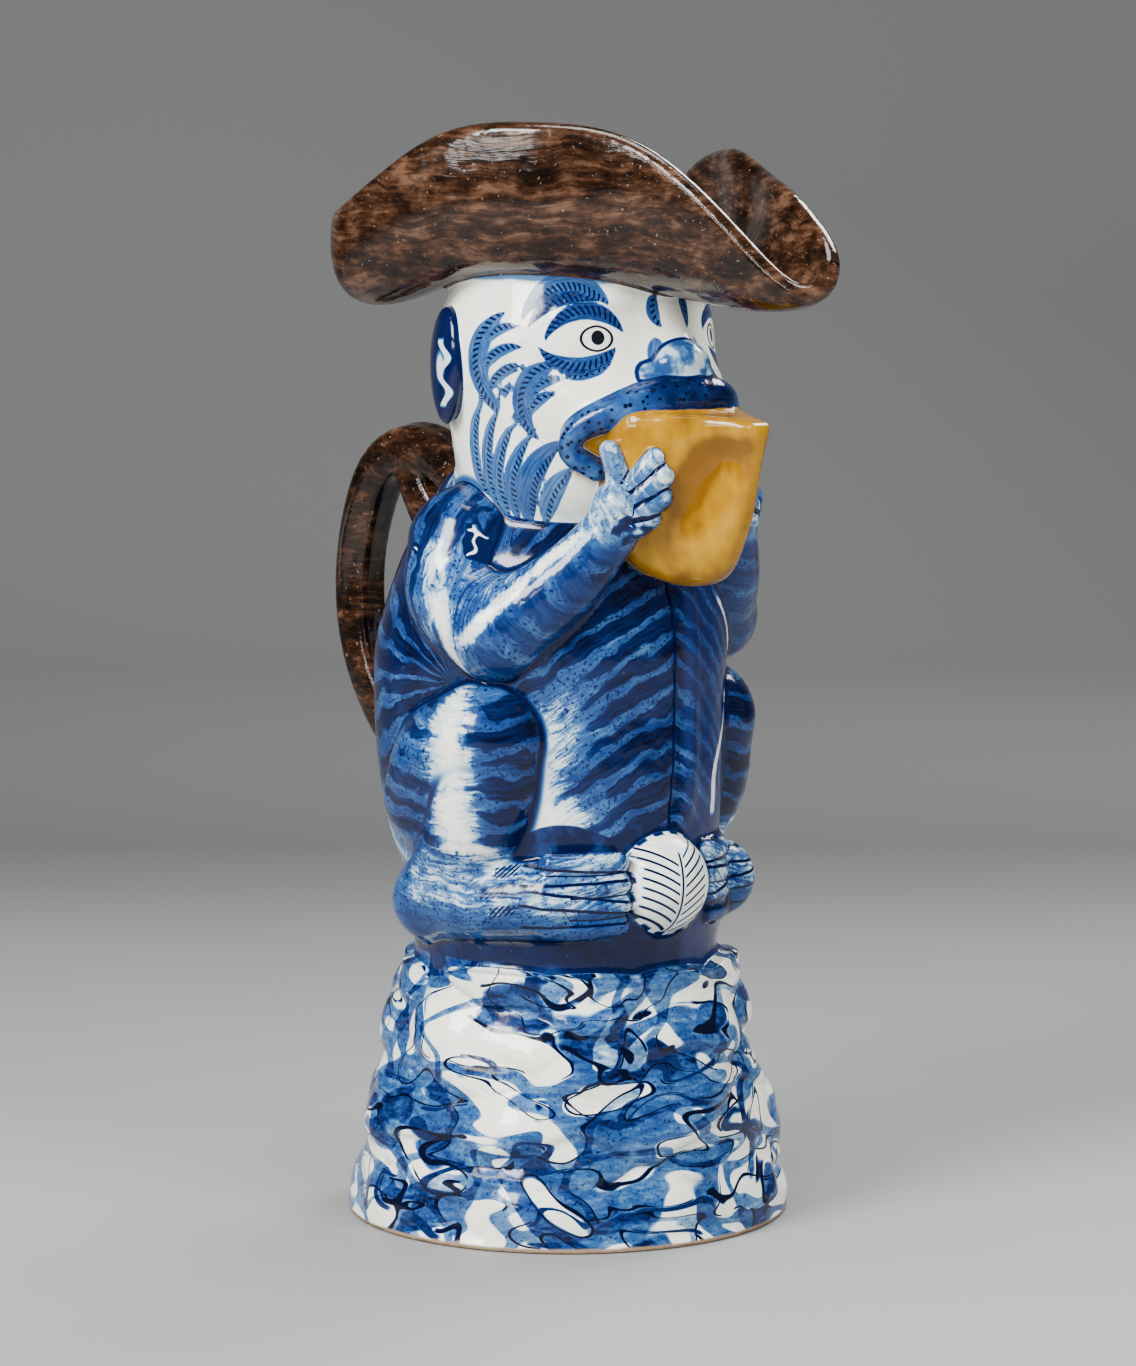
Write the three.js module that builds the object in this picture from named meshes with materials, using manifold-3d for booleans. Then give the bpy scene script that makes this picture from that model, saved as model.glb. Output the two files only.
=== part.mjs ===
// A tin-glazed earthenware jug in the form of a seated monkey on a rocky foot.
// The monkey wears a three-cornered hat, which is the mouth of the jug: its long front corner pours.
// Both hands hold a yellow fruit to the mouth, both feet hold a round nut between them, and a stem-shaped
// handle, forked at the top, joins the neck and shoulder to the back.
// Everything was luted together and fired as one piece, so the jug is one hollow solid.
// Millimetres, +Z up, the monkey looks along -Y, and the origin is the centre of the flat underside.
import * as THREE from "three";
import { mergeVertices } from "three/addons/utils/BufferGeometryUtils.js";
import Module from "manifold-3d";

// ---------------------------------------------------------------- driving dimensions
const FOOT_RADIUS = 53.4; // the rocky foot just above the table
const LEDGE_HEIGHT = 63; // top of the rocks, where the monkey sits
const HEAD_CENTRE = -3; // the head's axis lies this far forward of the foot's
const JOINT_HEIGHT = 223; // where the hat meets the head
const JOINT_RADIUS = 29;
const RIM_HEIGHT = 259; // the hat's rim on its turned-up sides
const FLOOR = 8; // thickness of the bottom
const BRIM_THICKNESS = 4.8;

const FIGURE_COLUMNS = 52; // points round the figure, closer together in front
const HAT_COLUMNS = 44;
const HOLLOW_COLUMNS = 18;

const wasm = await Module();
wasm.setup();
const { clamp, degToRad, lerp, smoothstep } = THREE.MathUtils;

// ---------------------------------------------------------------- solids out of three.js geometry
function solid(geometry) {
  const bare = geometry.clone();
  bare.deleteAttribute("normal");
  bare.deleteAttribute("uv");
  const merged = mergeVertices(bare, 1e-4);
  const triVerts = new Uint32Array(merged.index.array);
  const vertProperties = merged.attributes.position.array;
  const made = new wasm.Manifold(new wasm.Mesh({ numProp: 3, vertProperties, triVerts }));
  if (made.volume() > 0) return made;
  for (let i = 0; i < triVerts.length; i += 3) {
    [triVerts[i + 1], triVerts[i + 2]] = [triVerts[i + 2], triVerts[i + 1]];
  }
  return new wasm.Manifold(new wasm.Mesh({ numProp: 3, vertProperties, triVerts }));
}

function geometryOf(shape) {
  const mesh = shape.getMesh();
  const geometry = new THREE.BufferGeometry();
  geometry.setAttribute("position", new THREE.BufferAttribute(mesh.vertProperties, 3));
  geometry.setIndex(new THREE.BufferAttribute(mesh.triVerts, 1));
  geometry.computeVertexNormals();
  return geometry;
}

// A closed skin of rows and columns: place(row, turn) gives each point. The first and last rows are poles,
// and turn runs once round, with 0 towards the front and a quarter turn towards the monkey's right.
function skin(rows, columns, place) {
  const profile = Array.from({ length: rows + 1 }, (_, row) => {
    return new THREE.Vector2(row === 0 || row === rows ? 0 : 1, row);
  });
  const geometry = new THREE.LatheGeometry(profile, columns);
  const points = geometry.attributes.position;
  for (let i = 0; i < points.count; i++) {
    const row = Math.round(points.getY(i));
    const turn = Math.atan2(points.getX(i), points.getZ(i));
    const { x, y, z } = place(row, turn);
    points.setXYZ(i, x, y, z);
  }
  return solid(geometry);
}

function aroundAxis(turn, reach, z, middle = 0) {
  return { x: -Math.sin(turn) * reach, y: middle - Math.cos(turn) * reach, z };
}

// Draws points that are evenly spaced round the jug closer together in front.
function bunched(turn) {
  return turn - 0.45 * Math.sin(turn);
}

// Reads a value off rows of [place, value, value, ...], with rounded corners.
function along(table, place, column = 1) {
  if (place <= table[0][0]) return table[0][column];
  const next = table.findIndex((row) => place <= row[0]);
  if (next < 0) return table.at(-1)[column];
  const [before, after] = [table[next - 1], table[next]];
  const share = (place - before[0]) / (after[0] - before[0]);
  return lerp(before[column], after[column], lerp(share, smoothstep(share, 0, 1), 0.4));
}

// A rounded, tapering limb through [x, y, z, radius] points.
function limb(points, columns = 8, rows = 10) {
  const path = new THREE.CatmullRomCurve3(points.map(([x, y, z]) => new THREE.Vector3(x, y, z)));
  const girths = points.map((point, i) => [i / (points.length - 1), point[3]]);
  const frames = path.computeFrenetFrames(rows - 2);
  const domes = [1, 0.55, 0]; // how far the end rows stand out, for a rounded end
  return skin(rows, columns, (row, turn) => {
    const step = clamp(row - 1, 0, rows - 2);
    const radius = along(girths, step / (rows - 2));
    const girth = row === 0 || row === rows ? 0 : step === 0 || step === rows - 2 ? 0.8 : 1;
    const reach = (domes[Math.min(rows - row, 2)] - domes[Math.min(row, 2)]) * radius;
    return path
      .getPoint(step / (rows - 2))
      .addScaledVector(frames.tangents[step], reach)
      .addScaledVector(frames.normals[step], Math.cos(turn) * girth * radius)
      .addScaledVector(frames.binormals[step], Math.sin(turn) * girth * radius);
  });
}

function egg([x, y, z], [rx, ry, rz], degrees = 0, detail = 12) {
  const geometry = new THREE.SphereGeometry(1, detail, Math.ceil(detail * 0.6));
  geometry.scale(rx, ry, rz).rotateZ(degToRad(degrees)).translate(x, y, z);
  return solid(geometry);
}

// The same shape on the monkey's right (side -1) and left (side 1).
function pair(make) {
  return [-1, 1].flatMap((side) => make(side));
}

// ---------------------------------------------------------------- modelling clay
// Masses of clay are told by their distance from a point, so that they can be pressed together softly.
function barrel(rings) {
  return (x, y, z) => {
    const [wide, deep, middle] = [1, 2, 3].map((column) => along(rings, z, column));
    const round = (Math.hypot(x / wide, (y - middle) / deep) - 1) * Math.min(wide, deep);
    return Math.max(round, z - rings.at(-1)[0], rings[0][0] - z);
  };
}

function ball([cx, cy, cz], [rx, ry, rz], degrees = 0) {
  const [cos, sin] = [Math.cos(degToRad(degrees)), Math.sin(degToRad(degrees))];
  return (x, y, z) => {
    const [u, v, w] = [(x - cx) * cos + (y - cy) * sin, (y - cy) * cos - (x - cx) * sin, z - cz];
    const near = Math.hypot(u / rx, v / ry, w / rz);
    const slope = Math.hypot(u / rx ** 2, v / ry ** 2, w / rz ** 2);
    return slope < 1e-9 ? -Math.min(rx, ry, rz) : (near * (near - 1)) / slope;
  };
}

// A roll of clay through [x, y, z, radius] points.
function roll(points) {
  return (x, y, z) => {
    let nearest = Infinity;
    for (let i = 1; i < points.length; i++) {
      const [ax, ay, az, ar] = points[i - 1];
      const [bx, by, bz, br] = points[i];
      const [dx, dy, dz] = [bx - ax, by - ay, bz - az];
      const share = clamp(((x - ax) * dx + (y - ay) * dy + (z - az) * dz) / (dx * dx + dy * dy + dz * dz), 0, 1);
      const gap = Math.hypot(x - ax - share * dx, y - ay - share * dy, z - az - share * dz);
      nearest = Math.min(nearest, gap - lerp(ar, br, share));
    }
    return nearest;
  };
}

// Presses masses together, with a fillet of about the given softness.
function press(softness, ...masses) {
  return (x, y, z) => {
    return masses.map((mass) => mass(x, y, z)).reduce((a, b) => {
      const overlap = Math.max(softness - Math.abs(a - b), 0) / softness;
      return Math.min(a, b) - (overlap * overlap * softness) / 4;
    });
  };
}

// ---------------------------------------------------------------- the rocky foot and the trunk
// Rows of rounded rocks, each row staggered on the one below.
const ROCK_ROWS = [
  { height: 9, half: 11, count: 8, turn: 0.3, bulge: 2.8 },
  { height: 28, half: 11, count: 7, turn: 1.4, bulge: 3.4 },
  { height: 47, half: 11, count: 7, turn: 2.9, bulge: 3.2 },
];
const FOOT = [
  [-9, FOOT_RADIUS, FOOT_RADIUS, 0],
  [2, FOOT_RADIUS, FOOT_RADIUS, 0],
  [22, 50.2, 50.2, 0],
  [38, 46.6, 46.6, 0],
  [52, 42.8, 42.8, 0],
  [LEDGE_HEIGHT - 1, 40.2, 40.2, 0],
];

function rocks() {
  const cone = barrel(FOOT);
  return (x, y, z) => {
    const turn = Math.atan2(-x, -y);
    const inside = 1 - smoothstep(z, LEDGE_HEIGHT - 7, LEDGE_HEIGHT);
    const lumps = ROCK_ROWS.map(({ height, half, count, turn: shift, bulge }) => {
      const drift = 3.5 * Math.sin(2 * turn + shift) + 2 * Math.sin(5 * turn + 2 * shift);
      const off = (z - height - drift) / half;
      return bulge * Math.max(0, 1 - off * off) * (0.6 + 0.4 * Math.sin(count * turn + shift));
    });
    const relief = Math.max(...lumps) - 1.7;
    return cone(x, y, z) - relief * inside * smoothstep(z, 0, 7);
  };
}

const TRUNK = [
  // height, half width, half depth, centre
  [LEDGE_HEIGHT - 8, 36, 36, 0],
  [LEDGE_HEIGHT + 4, 36.5, 37, 1],
  [82, 36, 39, 3.5],
  [92, 38, 42, 5],
  [108, 39.5, 44.5, 6.5],
  [124, 40.5, 44.5, 7],
  [138, 41, 44, 6],
  [150, 38.5, 41.5, 4.5],
  [160, 35, 38, 4],
  [168, 30, 34, 4],
  [176, 26, 30, 3],
  [183, 22, 24, 1],
];

// ---------------------------------------------------------------- arms and legs
const SHOULDER = [27, 5, 162, 14.5];
const UPPER_ARM = [32.5, 1, 151, 13];
const ELBOW = [34.5, -13.5, 143, 10.6];
const FOREARM = [26.5, -26.5, 154, 8.6];
const WRIST = [20, -35, 165.5, 6.8];
const PALM = [19, -38.5, 173, 6.2];

const HIP = [29.5, 9.5, 102.5, 15.5];
const THIGH = [32.5, 2, 111.5, 15.5];
const KNEE = [33.5, -10, 118, 14];
const SHIN = [34, -7.5, 99, 12.4];
const HEEL = [33, 10, 77.5, 9.6];
const INSTEP = [33.5, -7, 79, 9.4];
const SOLE = [26.5, -24, 80.5, 9.6];

const NUT = { at: [-3, -36, 83.5], radius: 12, depth: 10.5 };
const FINGERS = {
  tips: [[21, -37.5, 186], [14.5, -46, 184.3], [13.5, -47.8, 180], [13.5, -47.5, 175], [15, -45.5, 170.3]],
  radius: 2.3,
  pitch: 2.6,
};
const TOES = { count: 4, low: 74.6, pitch: 4.9, radius: 3, reach: 15.5 };

function mirrored([x, y, z, radius], side) {
  return [x * side, y, z, radius];
}

function mirroredRoll(side, ...points) {
  return roll(points.map((point) => mirrored(point, side)));
}

function limbs() {
  return pair((side) => [
    press(4, mirroredRoll(side, SHOULDER, UPPER_ARM, ELBOW), mirroredRoll(side, ELBOW, FOREARM, WRIST, PALM)),
    mirroredRoll(side, HIP, THIGH, KNEE),
    press(4, mirroredRoll(side, KNEE, SHIN, HEEL), mirroredRoll(side, HEEL, INSTEP, SOLE)),
  ]);
}

function fingers(side) {
  const [x, y, z] = PALM;
  return FINGERS.tips.map((tip, i) => {
    const knuckle = [x - 0.5, y - Math.min(i, 3) * 0.8, z + 4.5 - i * FINGERS.pitch, FINGERS.radius + 0.4];
    return limb([mirrored(knuckle, side), mirrored([...tip, FINGERS.radius], side)], 5, 4);
  });
}

// The toes lie one above the other and stop against the nut.
function toes(side) {
  const tip = NUT.at[0] + side * TOES.reach;
  return Array.from({ length: TOES.count }, (_, i) => {
    const z = TOES.low + i * TOES.pitch;
    const bow = 1.4 * Math.sin((Math.PI * (i + 0.5)) / TOES.count);
    const toe = [
      [tip + side * 12.5, -26.5 - bow, z, TOES.radius],
      [tip + side * 6.5, -32.5 - bow, z, TOES.radius],
      [tip, -36 - bow, z + 0.4, TOES.radius * 0.8],
    ];
    return limb(toe, 5, 5);
  });
}

function nut() {
  return ball(NUT.at, [NUT.radius, NUT.depth, NUT.radius]);
}

// ---------------------------------------------------------------- the head
const SKULL = [
  [160, 17, 17, HEAD_CENTRE],
  [167, 25, 24, HEAD_CENTRE],
  [176, 28.5, 27, HEAD_CENTRE],
  [190, 30.5, 29.5, HEAD_CENTRE],
  [204, 33, 32, HEAD_CENTRE],
  [213, 33, 32.5, HEAD_CENTRE],
  [JOINT_HEIGHT, JOINT_RADIUS + 1, JOINT_RADIUS + 1, HEAD_CENTRE],
  [JOINT_HEIGHT + 5, JOINT_RADIUS, JOINT_RADIUS, HEAD_CENTRE],
];
const NOSE = { at: [0, -39, 204.5], size: [8, 6.4, 6.3] };
const NOSTRIL = { at: [8, -36.2, 202], size: [4, 4.8, 4] };
const EYE = { at: [14.6, -27.4, 211], radius: 4 };
const LIP = [
  [0, -42, 197.5, 5.6],
  [9, -41, 197, 5],
  [17.5, -35.5, 194.5, 3.8],
  [23.3, -29.5, 190.5, 2.9],
  [24, -27.5, 185, 2.6],
  [19, -31, 180.8, 2.5],
];

function face() {
  const muzzle = ball([0, -21, 195], [25.5, 21, 17]);
  const jaw = ball([0, -11, 178], [26, 21, 15]);
  const bridge = roll([[0, -28, 219, 4.5], [0, -32, 211, 5], [0, -37, 205, 5.5]]);
  const head = press(7, barrel(SKULL), muzzle, jaw, bridge);
  const details = pair((side) => [
    ball(mirrored(EYE.at, side), [EYE.radius, EYE.radius, EYE.radius * 0.8]),
    roll([[side * 5, -31.5, 219, 2.4], [side * 13, -29, 219.5, 3], [side * 22, -22.5, 216, 2.2]]),
  ]);
  const lips = pair((side) => [mirroredRoll(side, ...LIP), ball(mirrored(NOSTRIL.at, side), NOSTRIL.size)]);
  return press(2, head, press(1.5, ball(NOSE.at, NOSE.size), ...lips), ...details);
}

function ears() {
  return pair((side) => egg([side * 31, 8, 204.5], [3.2, 8.4, 13.8], side * 22, 10));
}

// ---------------------------------------------------------------- the whole figure as one skin
// Row heights from the table up: the rocks, the seated body, and the head in finer steps.
const FIGURE_STEPS = [
  { to: LEDGE_HEIGHT, rows: 12 },
  { to: 164, rows: 20 },
  { to: JOINT_HEIGHT + 4, rows: 17 },
];

function figureHeights() {
  const heights = [0, 0, 1.2];
  for (const { to, rows } of FIGURE_STEPS) {
    const from = heights.at(-1);
    for (let i = 1; i <= rows; i++) heights.push(lerp(from, to, i / rows));
  }
  return [...heights, JOINT_HEIGHT + 4];
}

function figure() {
  const trunk = press(6, barrel(TRUNK), ball([0, -3, 76], [37, 36, 12]));
  const clay = press(2.5, rocks(), trunk, ...limbs(), face(), nut());
  const heights = figureHeights();
  const farthest = 75;
  return skin(heights.length - 1, FIGURE_COLUMNS, (row, even) => {
    const z = heights[row];
    const turn = bunched(even);
    const isPole = row === 0 || row === heights.length - 1;
    let reach = isPole ? 0 : farthest;
    for (let i = 0; i < 60 && reach > 0; i++) {
      const { x, y } = aroundAxis(turn, reach, z);
      const gap = clay(x, y, Math.max(z, 0.5));
      if (gap < 0.01) break;
      reach -= Math.max(gap * 0.8, 0.02);
    }
    const chamfer = row === 1 ? 1.2 : 0;
    return aroundAxis(turn, Math.max(reach - chamfer, 0), z);
  });
}

// ---------------------------------------------------------------- the fruit
// A full belly behind, drawn out in front to a flat-topped beak over a keel.
const FRUIT_BACK = -26;
const FRUIT_TIP = -67.5;
const FRUIT = [
  // share of the way to the tip, top, underside, half width
  [0, 190, 161, 15],
  [0.28, 194.5, 155, 19],
  [0.5, 194.5, 154, 14.5],
  [0.7, 194, 158, 8],
  [0.88, 193, 171, 4.2],
  [1, 192, 186, 2.4],
];

function fruit() {
  const rows = 12;
  return skin(rows, 16, (row, turn) => {
    const share = clamp((row - 1) / (rows - 2), 0, 1);
    const [top, low, half] = [1, 2, 3].map((column) => along(FRUIT, share, column));
    const out = row === 0 || row === rows ? 0 : 1;
    const across = Math.sign(Math.sin(turn)) * Math.abs(Math.sin(turn)) ** 0.8;
    return {
      x: across * half * out,
      y: lerp(FRUIT_BACK, FRUIT_TIP, share),
      z: (top + low) / 2 + (Math.cos(turn) * out * (top - low)) / 2,
    };
  });
}

// ---------------------------------------------------------------- the hat
const PROW = { reach: 88.5, width: 12, drop: 35, dropWidth: 8, dropAt: 2.5, blunt: 4 };
const FLAP_REACH = 41;
const CORNER = { at: 128, spread: 30, reach: 56, fall: 20 }; // the two back corners, in degrees from the front
const BACK_DIP = 7;
const TILT = 0.1; // the hat sits a little higher on the monkey's right
const LEFT_FLAP = { at: 24, dip: 5, dipWidth: 16, low: 1.8, swell: 4 }; // beside the prow

function prowShare(degrees, width) {
  return Math.exp((PROW.blunt - Math.hypot(degrees, PROW.blunt)) / width);
}

// A point of the brim from where it leaves the head (share 0), round its fold, to the rim (share 1).
function brim(turn, share, inset) {
  const signed = turn / degToRad(1);
  const degrees = Math.abs(signed);
  const left = smoothstep(-signed, 0, 8);
  const prow = prowShare(degrees, PROW.width);
  const corner = Math.exp(-(((degrees - CORNER.at) / CORNER.spread) ** 2));
  const back = smoothstep(degrees, 140, 180);
  const swell = left * LEFT_FLAP.swell * Math.exp(-(((degrees - 26) / 13) ** 2));
  const dip = LEFT_FLAP.dip * Math.exp(-(((degrees - LEFT_FLAP.at) / LEFT_FLAP.dipWidth) ** 2));
  const lower = left * (dip + LEFT_FLAP.low) * (1 - back);
  const flapReach = lerp(FLAP_REACH, CORNER.reach, corner);
  const rimReach = lerp(flapReach, PROW.reach - inset, prow) - inset - back * 2 + swell;
  const front = prowShare(signed - PROW.dropAt, PROW.dropWidth) * PROW.drop;
  const drop = front + corner * CORNER.fall + back * BACK_DIP + lower;
  const foldReach = rimReach + 4 - prow * 16;
  const foldHeight = JOINT_HEIGHT - prow * 9 - corner * 20;
  const start = inset ? 21 : JOINT_RADIUS - 1;
  const [a, b, c] = [(1 - share) ** 2, 2 * share * (1 - share), share ** 2];
  return {
    reach: a * start + b * foldReach + c * rimReach,
    height: a * JOINT_HEIGHT + b * foldHeight + c * (RIM_HEIGHT - drop) + inset * (1 - c),
    tilt: TILT * (1 - c / 2),
  };
}

// A bowl with the brim's skin for its wall; its flat lid lies at the rim, raised by a lift.
function bowl(inset, lift) {
  const rows = 9;
  return skin(rows, HAT_COLUMNS, (row, even) => {
    const turn = bunched(even);
    const { reach, height, tilt } = brim(turn, clamp((row - 1) / (rows - 3), 0, 1), inset);
    const inward = [0, 1, 1, 1, 1, 1, 1, 1, 0.55, 0][row];
    const level = row === 0 ? JOINT_HEIGHT + inset : row === rows ? RIM_HEIGHT - 14 : height;
    const rise = row >= rows - 2 ? lift : 0;
    const point = aroundAxis(turn, reach * inward, level + rise, HEAD_CENTRE * (1 - inward));
    return { ...point, z: point.z - tilt * point.x };
  });
}

// ---------------------------------------------------------------- the handle
const STEM = [
  [0, 33, 173, 6.8],
  [0, 46, 180.5, 6.2],
  [0, 58, 182.5, 6],
  [0, 69.5, 176, 6],
  [0, 77, 161, 6],
  [0, 79, 146, 5.9],
  [0, 76, 130, 5.8],
  [0, 68, 115.5, 5.6],
  [0, 56, 104, 5.8],
  [0, 42, 97, 7],
];
const FORK = [
  [0, 36, 155, 6.5],
  [0, 48, 164, 5.6],
  [0, 55, 175, 5.4],
  [0, 58, 181, 5],
];

function handle() {
  return [limb(STEM, 8, 26), limb(FORK, 8, 8)];
}

// ---------------------------------------------------------------- the hollow
const HOLLOW = [
  // height, half width, half depth, centre
  [FLOOR, 40, 40, 0],
  [FLOOR + 4, 44, 44, 0],
  [38, 38.5, 38.5, 0],
  [62, 31, 31, 0.5],
  [80, 28.5, 30, 2],
  [106, 31.5, 36.5, 4.5],
  [124, 33, 37, 4.5],
  [140, 32.5, 36.5, 4.5],
  [154, 27, 30, 4],
  [164, 20, 22.5, 3],
  [174, 16.5, 17.5, 0],
  [184, 19, 18.5, HEAD_CENTRE],
  [198, 25, 24, HEAD_CENTRE],
  [210, 26.5, 25, HEAD_CENTRE],
  [217, 23.5, 23.5, HEAD_CENTRE],
  [JOINT_HEIGHT + 3, 22, 22, HEAD_CENTRE],
  [RIM_HEIGHT - 22, 22.5, 22.5, HEAD_CENTRE],
];

function hollow() {
  const rows = HOLLOW.length + 1;
  return skin(rows, HOLLOW_COLUMNS, (row, turn) => {
    const [z, wide, deep, middle] = HOLLOW[clamp(row - 1, 0, HOLLOW.length - 1)];
    const out = row === 0 || row === rows ? 0 : 1;
    return { x: -Math.sin(turn) * wide * out, y: middle - Math.cos(turn) * deep * out, z };
  });
}

// ---------------------------------------------------------------- the jug
function jug() {
  const outside = [figure(), fruit(), bowl(0, 0), ...ears(), ...pair(fingers), ...pair(toes), ...handle()];
  const whole = outside.reduce((sum, shape) => sum.add(shape));
  return whole.subtract(hollow()).subtract(bowl(BRIM_THICKNESS, 8));
}

const root = new THREE.Group();
const glaze = new THREE.MeshStandardMaterial({ color: 0xa9bcd6, roughness: 0.16, metalness: 0 });
const mesh = new THREE.Mesh(geometryOf(jug()), glaze);
mesh.name = "jug";
root.add(mesh);

export default root;
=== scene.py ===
"""A tin-glazed jug in the form of a seated monkey: one hollow casting, painted and glazed.

The clay is modelled as distances in millimetres, from the same named sizes as the solid it stands for,
skinned as one mesh, and painted with brush strokes that follow the modelling.
"""
import math
from functools import partial, reduce
from types import SimpleNamespace

import bmesh
import bpy
import numpy as np
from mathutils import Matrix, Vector
from mathutils.bvhtree import BVHTree


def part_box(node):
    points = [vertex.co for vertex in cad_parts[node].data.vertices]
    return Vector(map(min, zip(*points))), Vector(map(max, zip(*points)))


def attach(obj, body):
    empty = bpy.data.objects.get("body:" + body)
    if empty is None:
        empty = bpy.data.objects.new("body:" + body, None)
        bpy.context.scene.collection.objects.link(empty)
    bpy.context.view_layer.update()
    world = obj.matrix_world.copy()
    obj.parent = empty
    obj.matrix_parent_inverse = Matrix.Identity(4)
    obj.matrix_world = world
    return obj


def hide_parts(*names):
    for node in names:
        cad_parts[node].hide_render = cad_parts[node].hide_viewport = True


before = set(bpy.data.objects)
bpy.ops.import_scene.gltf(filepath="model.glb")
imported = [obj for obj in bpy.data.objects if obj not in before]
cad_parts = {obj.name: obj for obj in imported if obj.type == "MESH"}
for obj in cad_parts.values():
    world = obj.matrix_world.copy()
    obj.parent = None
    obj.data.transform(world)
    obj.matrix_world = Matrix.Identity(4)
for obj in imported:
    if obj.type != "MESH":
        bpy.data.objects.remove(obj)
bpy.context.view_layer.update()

# ---------------------------------------------------------------- sizes, in millimetres
MODEL_HEIGHT = 261.0  # the height that the sizes below were set out for
NODE_LOW, NODE_HIGH = (np.array(corner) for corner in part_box("jug"))
MM = (NODE_HIGH[2] - NODE_LOW[2]) / MODEL_HEIGHT  # metres in one of these millimetres

FOOT_RADIUS = 53.4
LEDGE_HEIGHT = 63
HEAD_CENTRE = -3
JOINT_HEIGHT = 223
JOINT_RADIUS = 29
RIM_HEIGHT = 259
FLOOR = 8
BRIM_THICKNESS = 4.8

CELL = 1.25  # edge of the cells that the skin is drawn from
FACE_BUDGET = 140_000
FAR = 60.0
EMPTY_SOFTNESS = 1.5  # how softly the hollow is cut
BASE_SOFTNESS = 1.2  # and the flat underside
SIDES = {"right": -1, "left": 1}  # the monkey's own, and which way along x each lies


# ---------------------------------------------------------------- curves through rows of sizes
def spline(rows, count=160):
    """Rows of numbers run through by one smooth curve, as an array of that many rows."""
    rows = np.array(rows, float)
    padded = np.vstack([2 * rows[0] - rows[1], rows, 2 * rows[-1] - rows[-2]])
    places = np.linspace(0, len(rows) - 1, count)
    span = np.minimum(places.astype(int), len(rows) - 2)
    t = (places - span)[:, None]
    a, b, c, d = (padded[span + k] for k in range(4))
    return 0.5 * (2 * b + (c - a) * t + (2 * a - 5 * b + 4 * c - d) * t**2 + (3 * b - a - 3 * c + d) * t**3)


def smooth(value, low, high):
    """0 below low, 1 above high, and an easy slope between."""
    share = np.clip((value - low) / (high - low), 0, 1)
    return share * share * (3 - 2 * share)


# ---------------------------------------------------------------- clay
class Clay:
    """A mass of clay: its distance function and the box it lies in."""

    def __init__(self, distance, low, high):
        self.distance = distance
        self.low = np.array(low, float)
        self.high = np.array(high, float)

    def near(self, x, y, z):
        """The distance where a point is in reach of the mass, and FAR elsewhere."""
        inside = np.ones(x.shape, bool)
        for value, low, high in zip((x, y, z), self.low, self.high):
            inside &= (value > low - REACH) & (value < high + REACH)
        found = np.full(x.shape, FAR)
        found[inside] = self.distance(x[inside], y[inside], z[inside])
        return found


REACH = 9.0  # how far outside its box a mass is still felt


def barrel(rings):
    """Rings of (height, half width, half depth, centre), joined by a smooth wall."""
    heights, wide, deep, middle = spline(rings, 400).T
    low = (-wide.max(), (middle - deep).min(), heights[0])
    high = (wide.max(), (middle + deep).max(), heights[-1])

    def distance(x, y, z):
        w, d, m = (np.interp(z, heights, column) for column in (wide, deep, middle))
        wall = (np.hypot(x / w, (y - m) / d) - 1) * np.minimum(w, d)
        return np.maximum(wall, np.maximum(z - heights[-1], heights[0] - z))

    return Clay(distance, low, high)


def ball(centre, radii, degrees=0.0):
    """An ellipsoid, turned about its upright axis."""
    turn = math.radians(degrees)
    cos, sin = math.cos(turn), math.sin(turn)
    rx, ry, rz = radii
    largest = max(radii)

    def distance(x, y, z):
        u, v, w = x - centre[0], y - centre[1], z - centre[2]
        u, v = u * cos + v * sin, v * cos - u * sin
        near = np.sqrt((u / rx) ** 2 + (v / ry) ** 2 + (w / rz) ** 2)
        slope = np.sqrt((u / rx**2) ** 2 + (v / ry**2) ** 2 + (w / rz**2) ** 2)
        return np.where(slope < 1e-6, -min(radii), near * (near - 1) / np.maximum(slope, 1e-6))

    return Clay(distance, np.array(centre) - largest, np.array(centre) + largest)


def along_roll(points):
    """The distance from a roll's skin, and how far along it (0 to 1) its nearest point is."""
    points = np.array(points, float)

    def measure(x, y, z):
        nearest = np.full(x.shape, FAR)
        share = np.zeros(x.shape)
        last = len(points) - 1
        for i in range(last):
            a, b = points[i], points[i + 1]
            step = b[:3] - a[:3]
            t = ((x - a[0]) * step[0] + (y - a[1]) * step[1] + (z - a[2]) * step[2]) / (step @ step)
            t = np.clip(t, 0, 1)
            off = [value - a[k] - t * step[k] for k, value in enumerate((x, y, z))]
            gap = np.sqrt(off[0] ** 2 + off[1] ** 2 + off[2] ** 2) - a[3] - (b[3] - a[3]) * t
            closer = gap < nearest
            nearest = np.where(closer, gap, nearest)
            share = np.where(closer, (i + t) / last, share)
        return nearest, share

    return measure


def roll(points, bends=5):
    """A roll of clay through (x, y, z, radius) points."""
    points = spline(points, (len(points) - 1) * bends + 1)
    measure = along_roll(points)
    low = (points[:, :3] - points[:, 3:]).min(0)
    high = (points[:, :3] + points[:, 3:]).max(0)
    return Clay(lambda x, y, z: measure(x, y, z)[0], low, high)


FLUTES, FLUTE_DEPTH = 5, 0.45


def fluted(mass):
    """A roll that lies in the middle plane, with shallow grooves along it."""
    def distance(x, y, z):
        apart = mass.distance(x, y, z)
        lean = np.arcsin(np.clip(x / np.maximum(apart + 6, 1), -1, 1))
        return apart + FLUTE_DEPTH * np.cos(FLUTES * lean + 0.9 * np.sin(z * 0.11))

    return Clay(distance, mass.low - 0.5, mass.high + 0.5)


def soften(a, b, softness):
    """The nearer of two distances, with a fillet of about the given softness."""
    overlap = np.maximum(softness - np.abs(a - b), 0) / softness
    return np.minimum(a, b) - overlap * overlap * softness / 4


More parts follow.
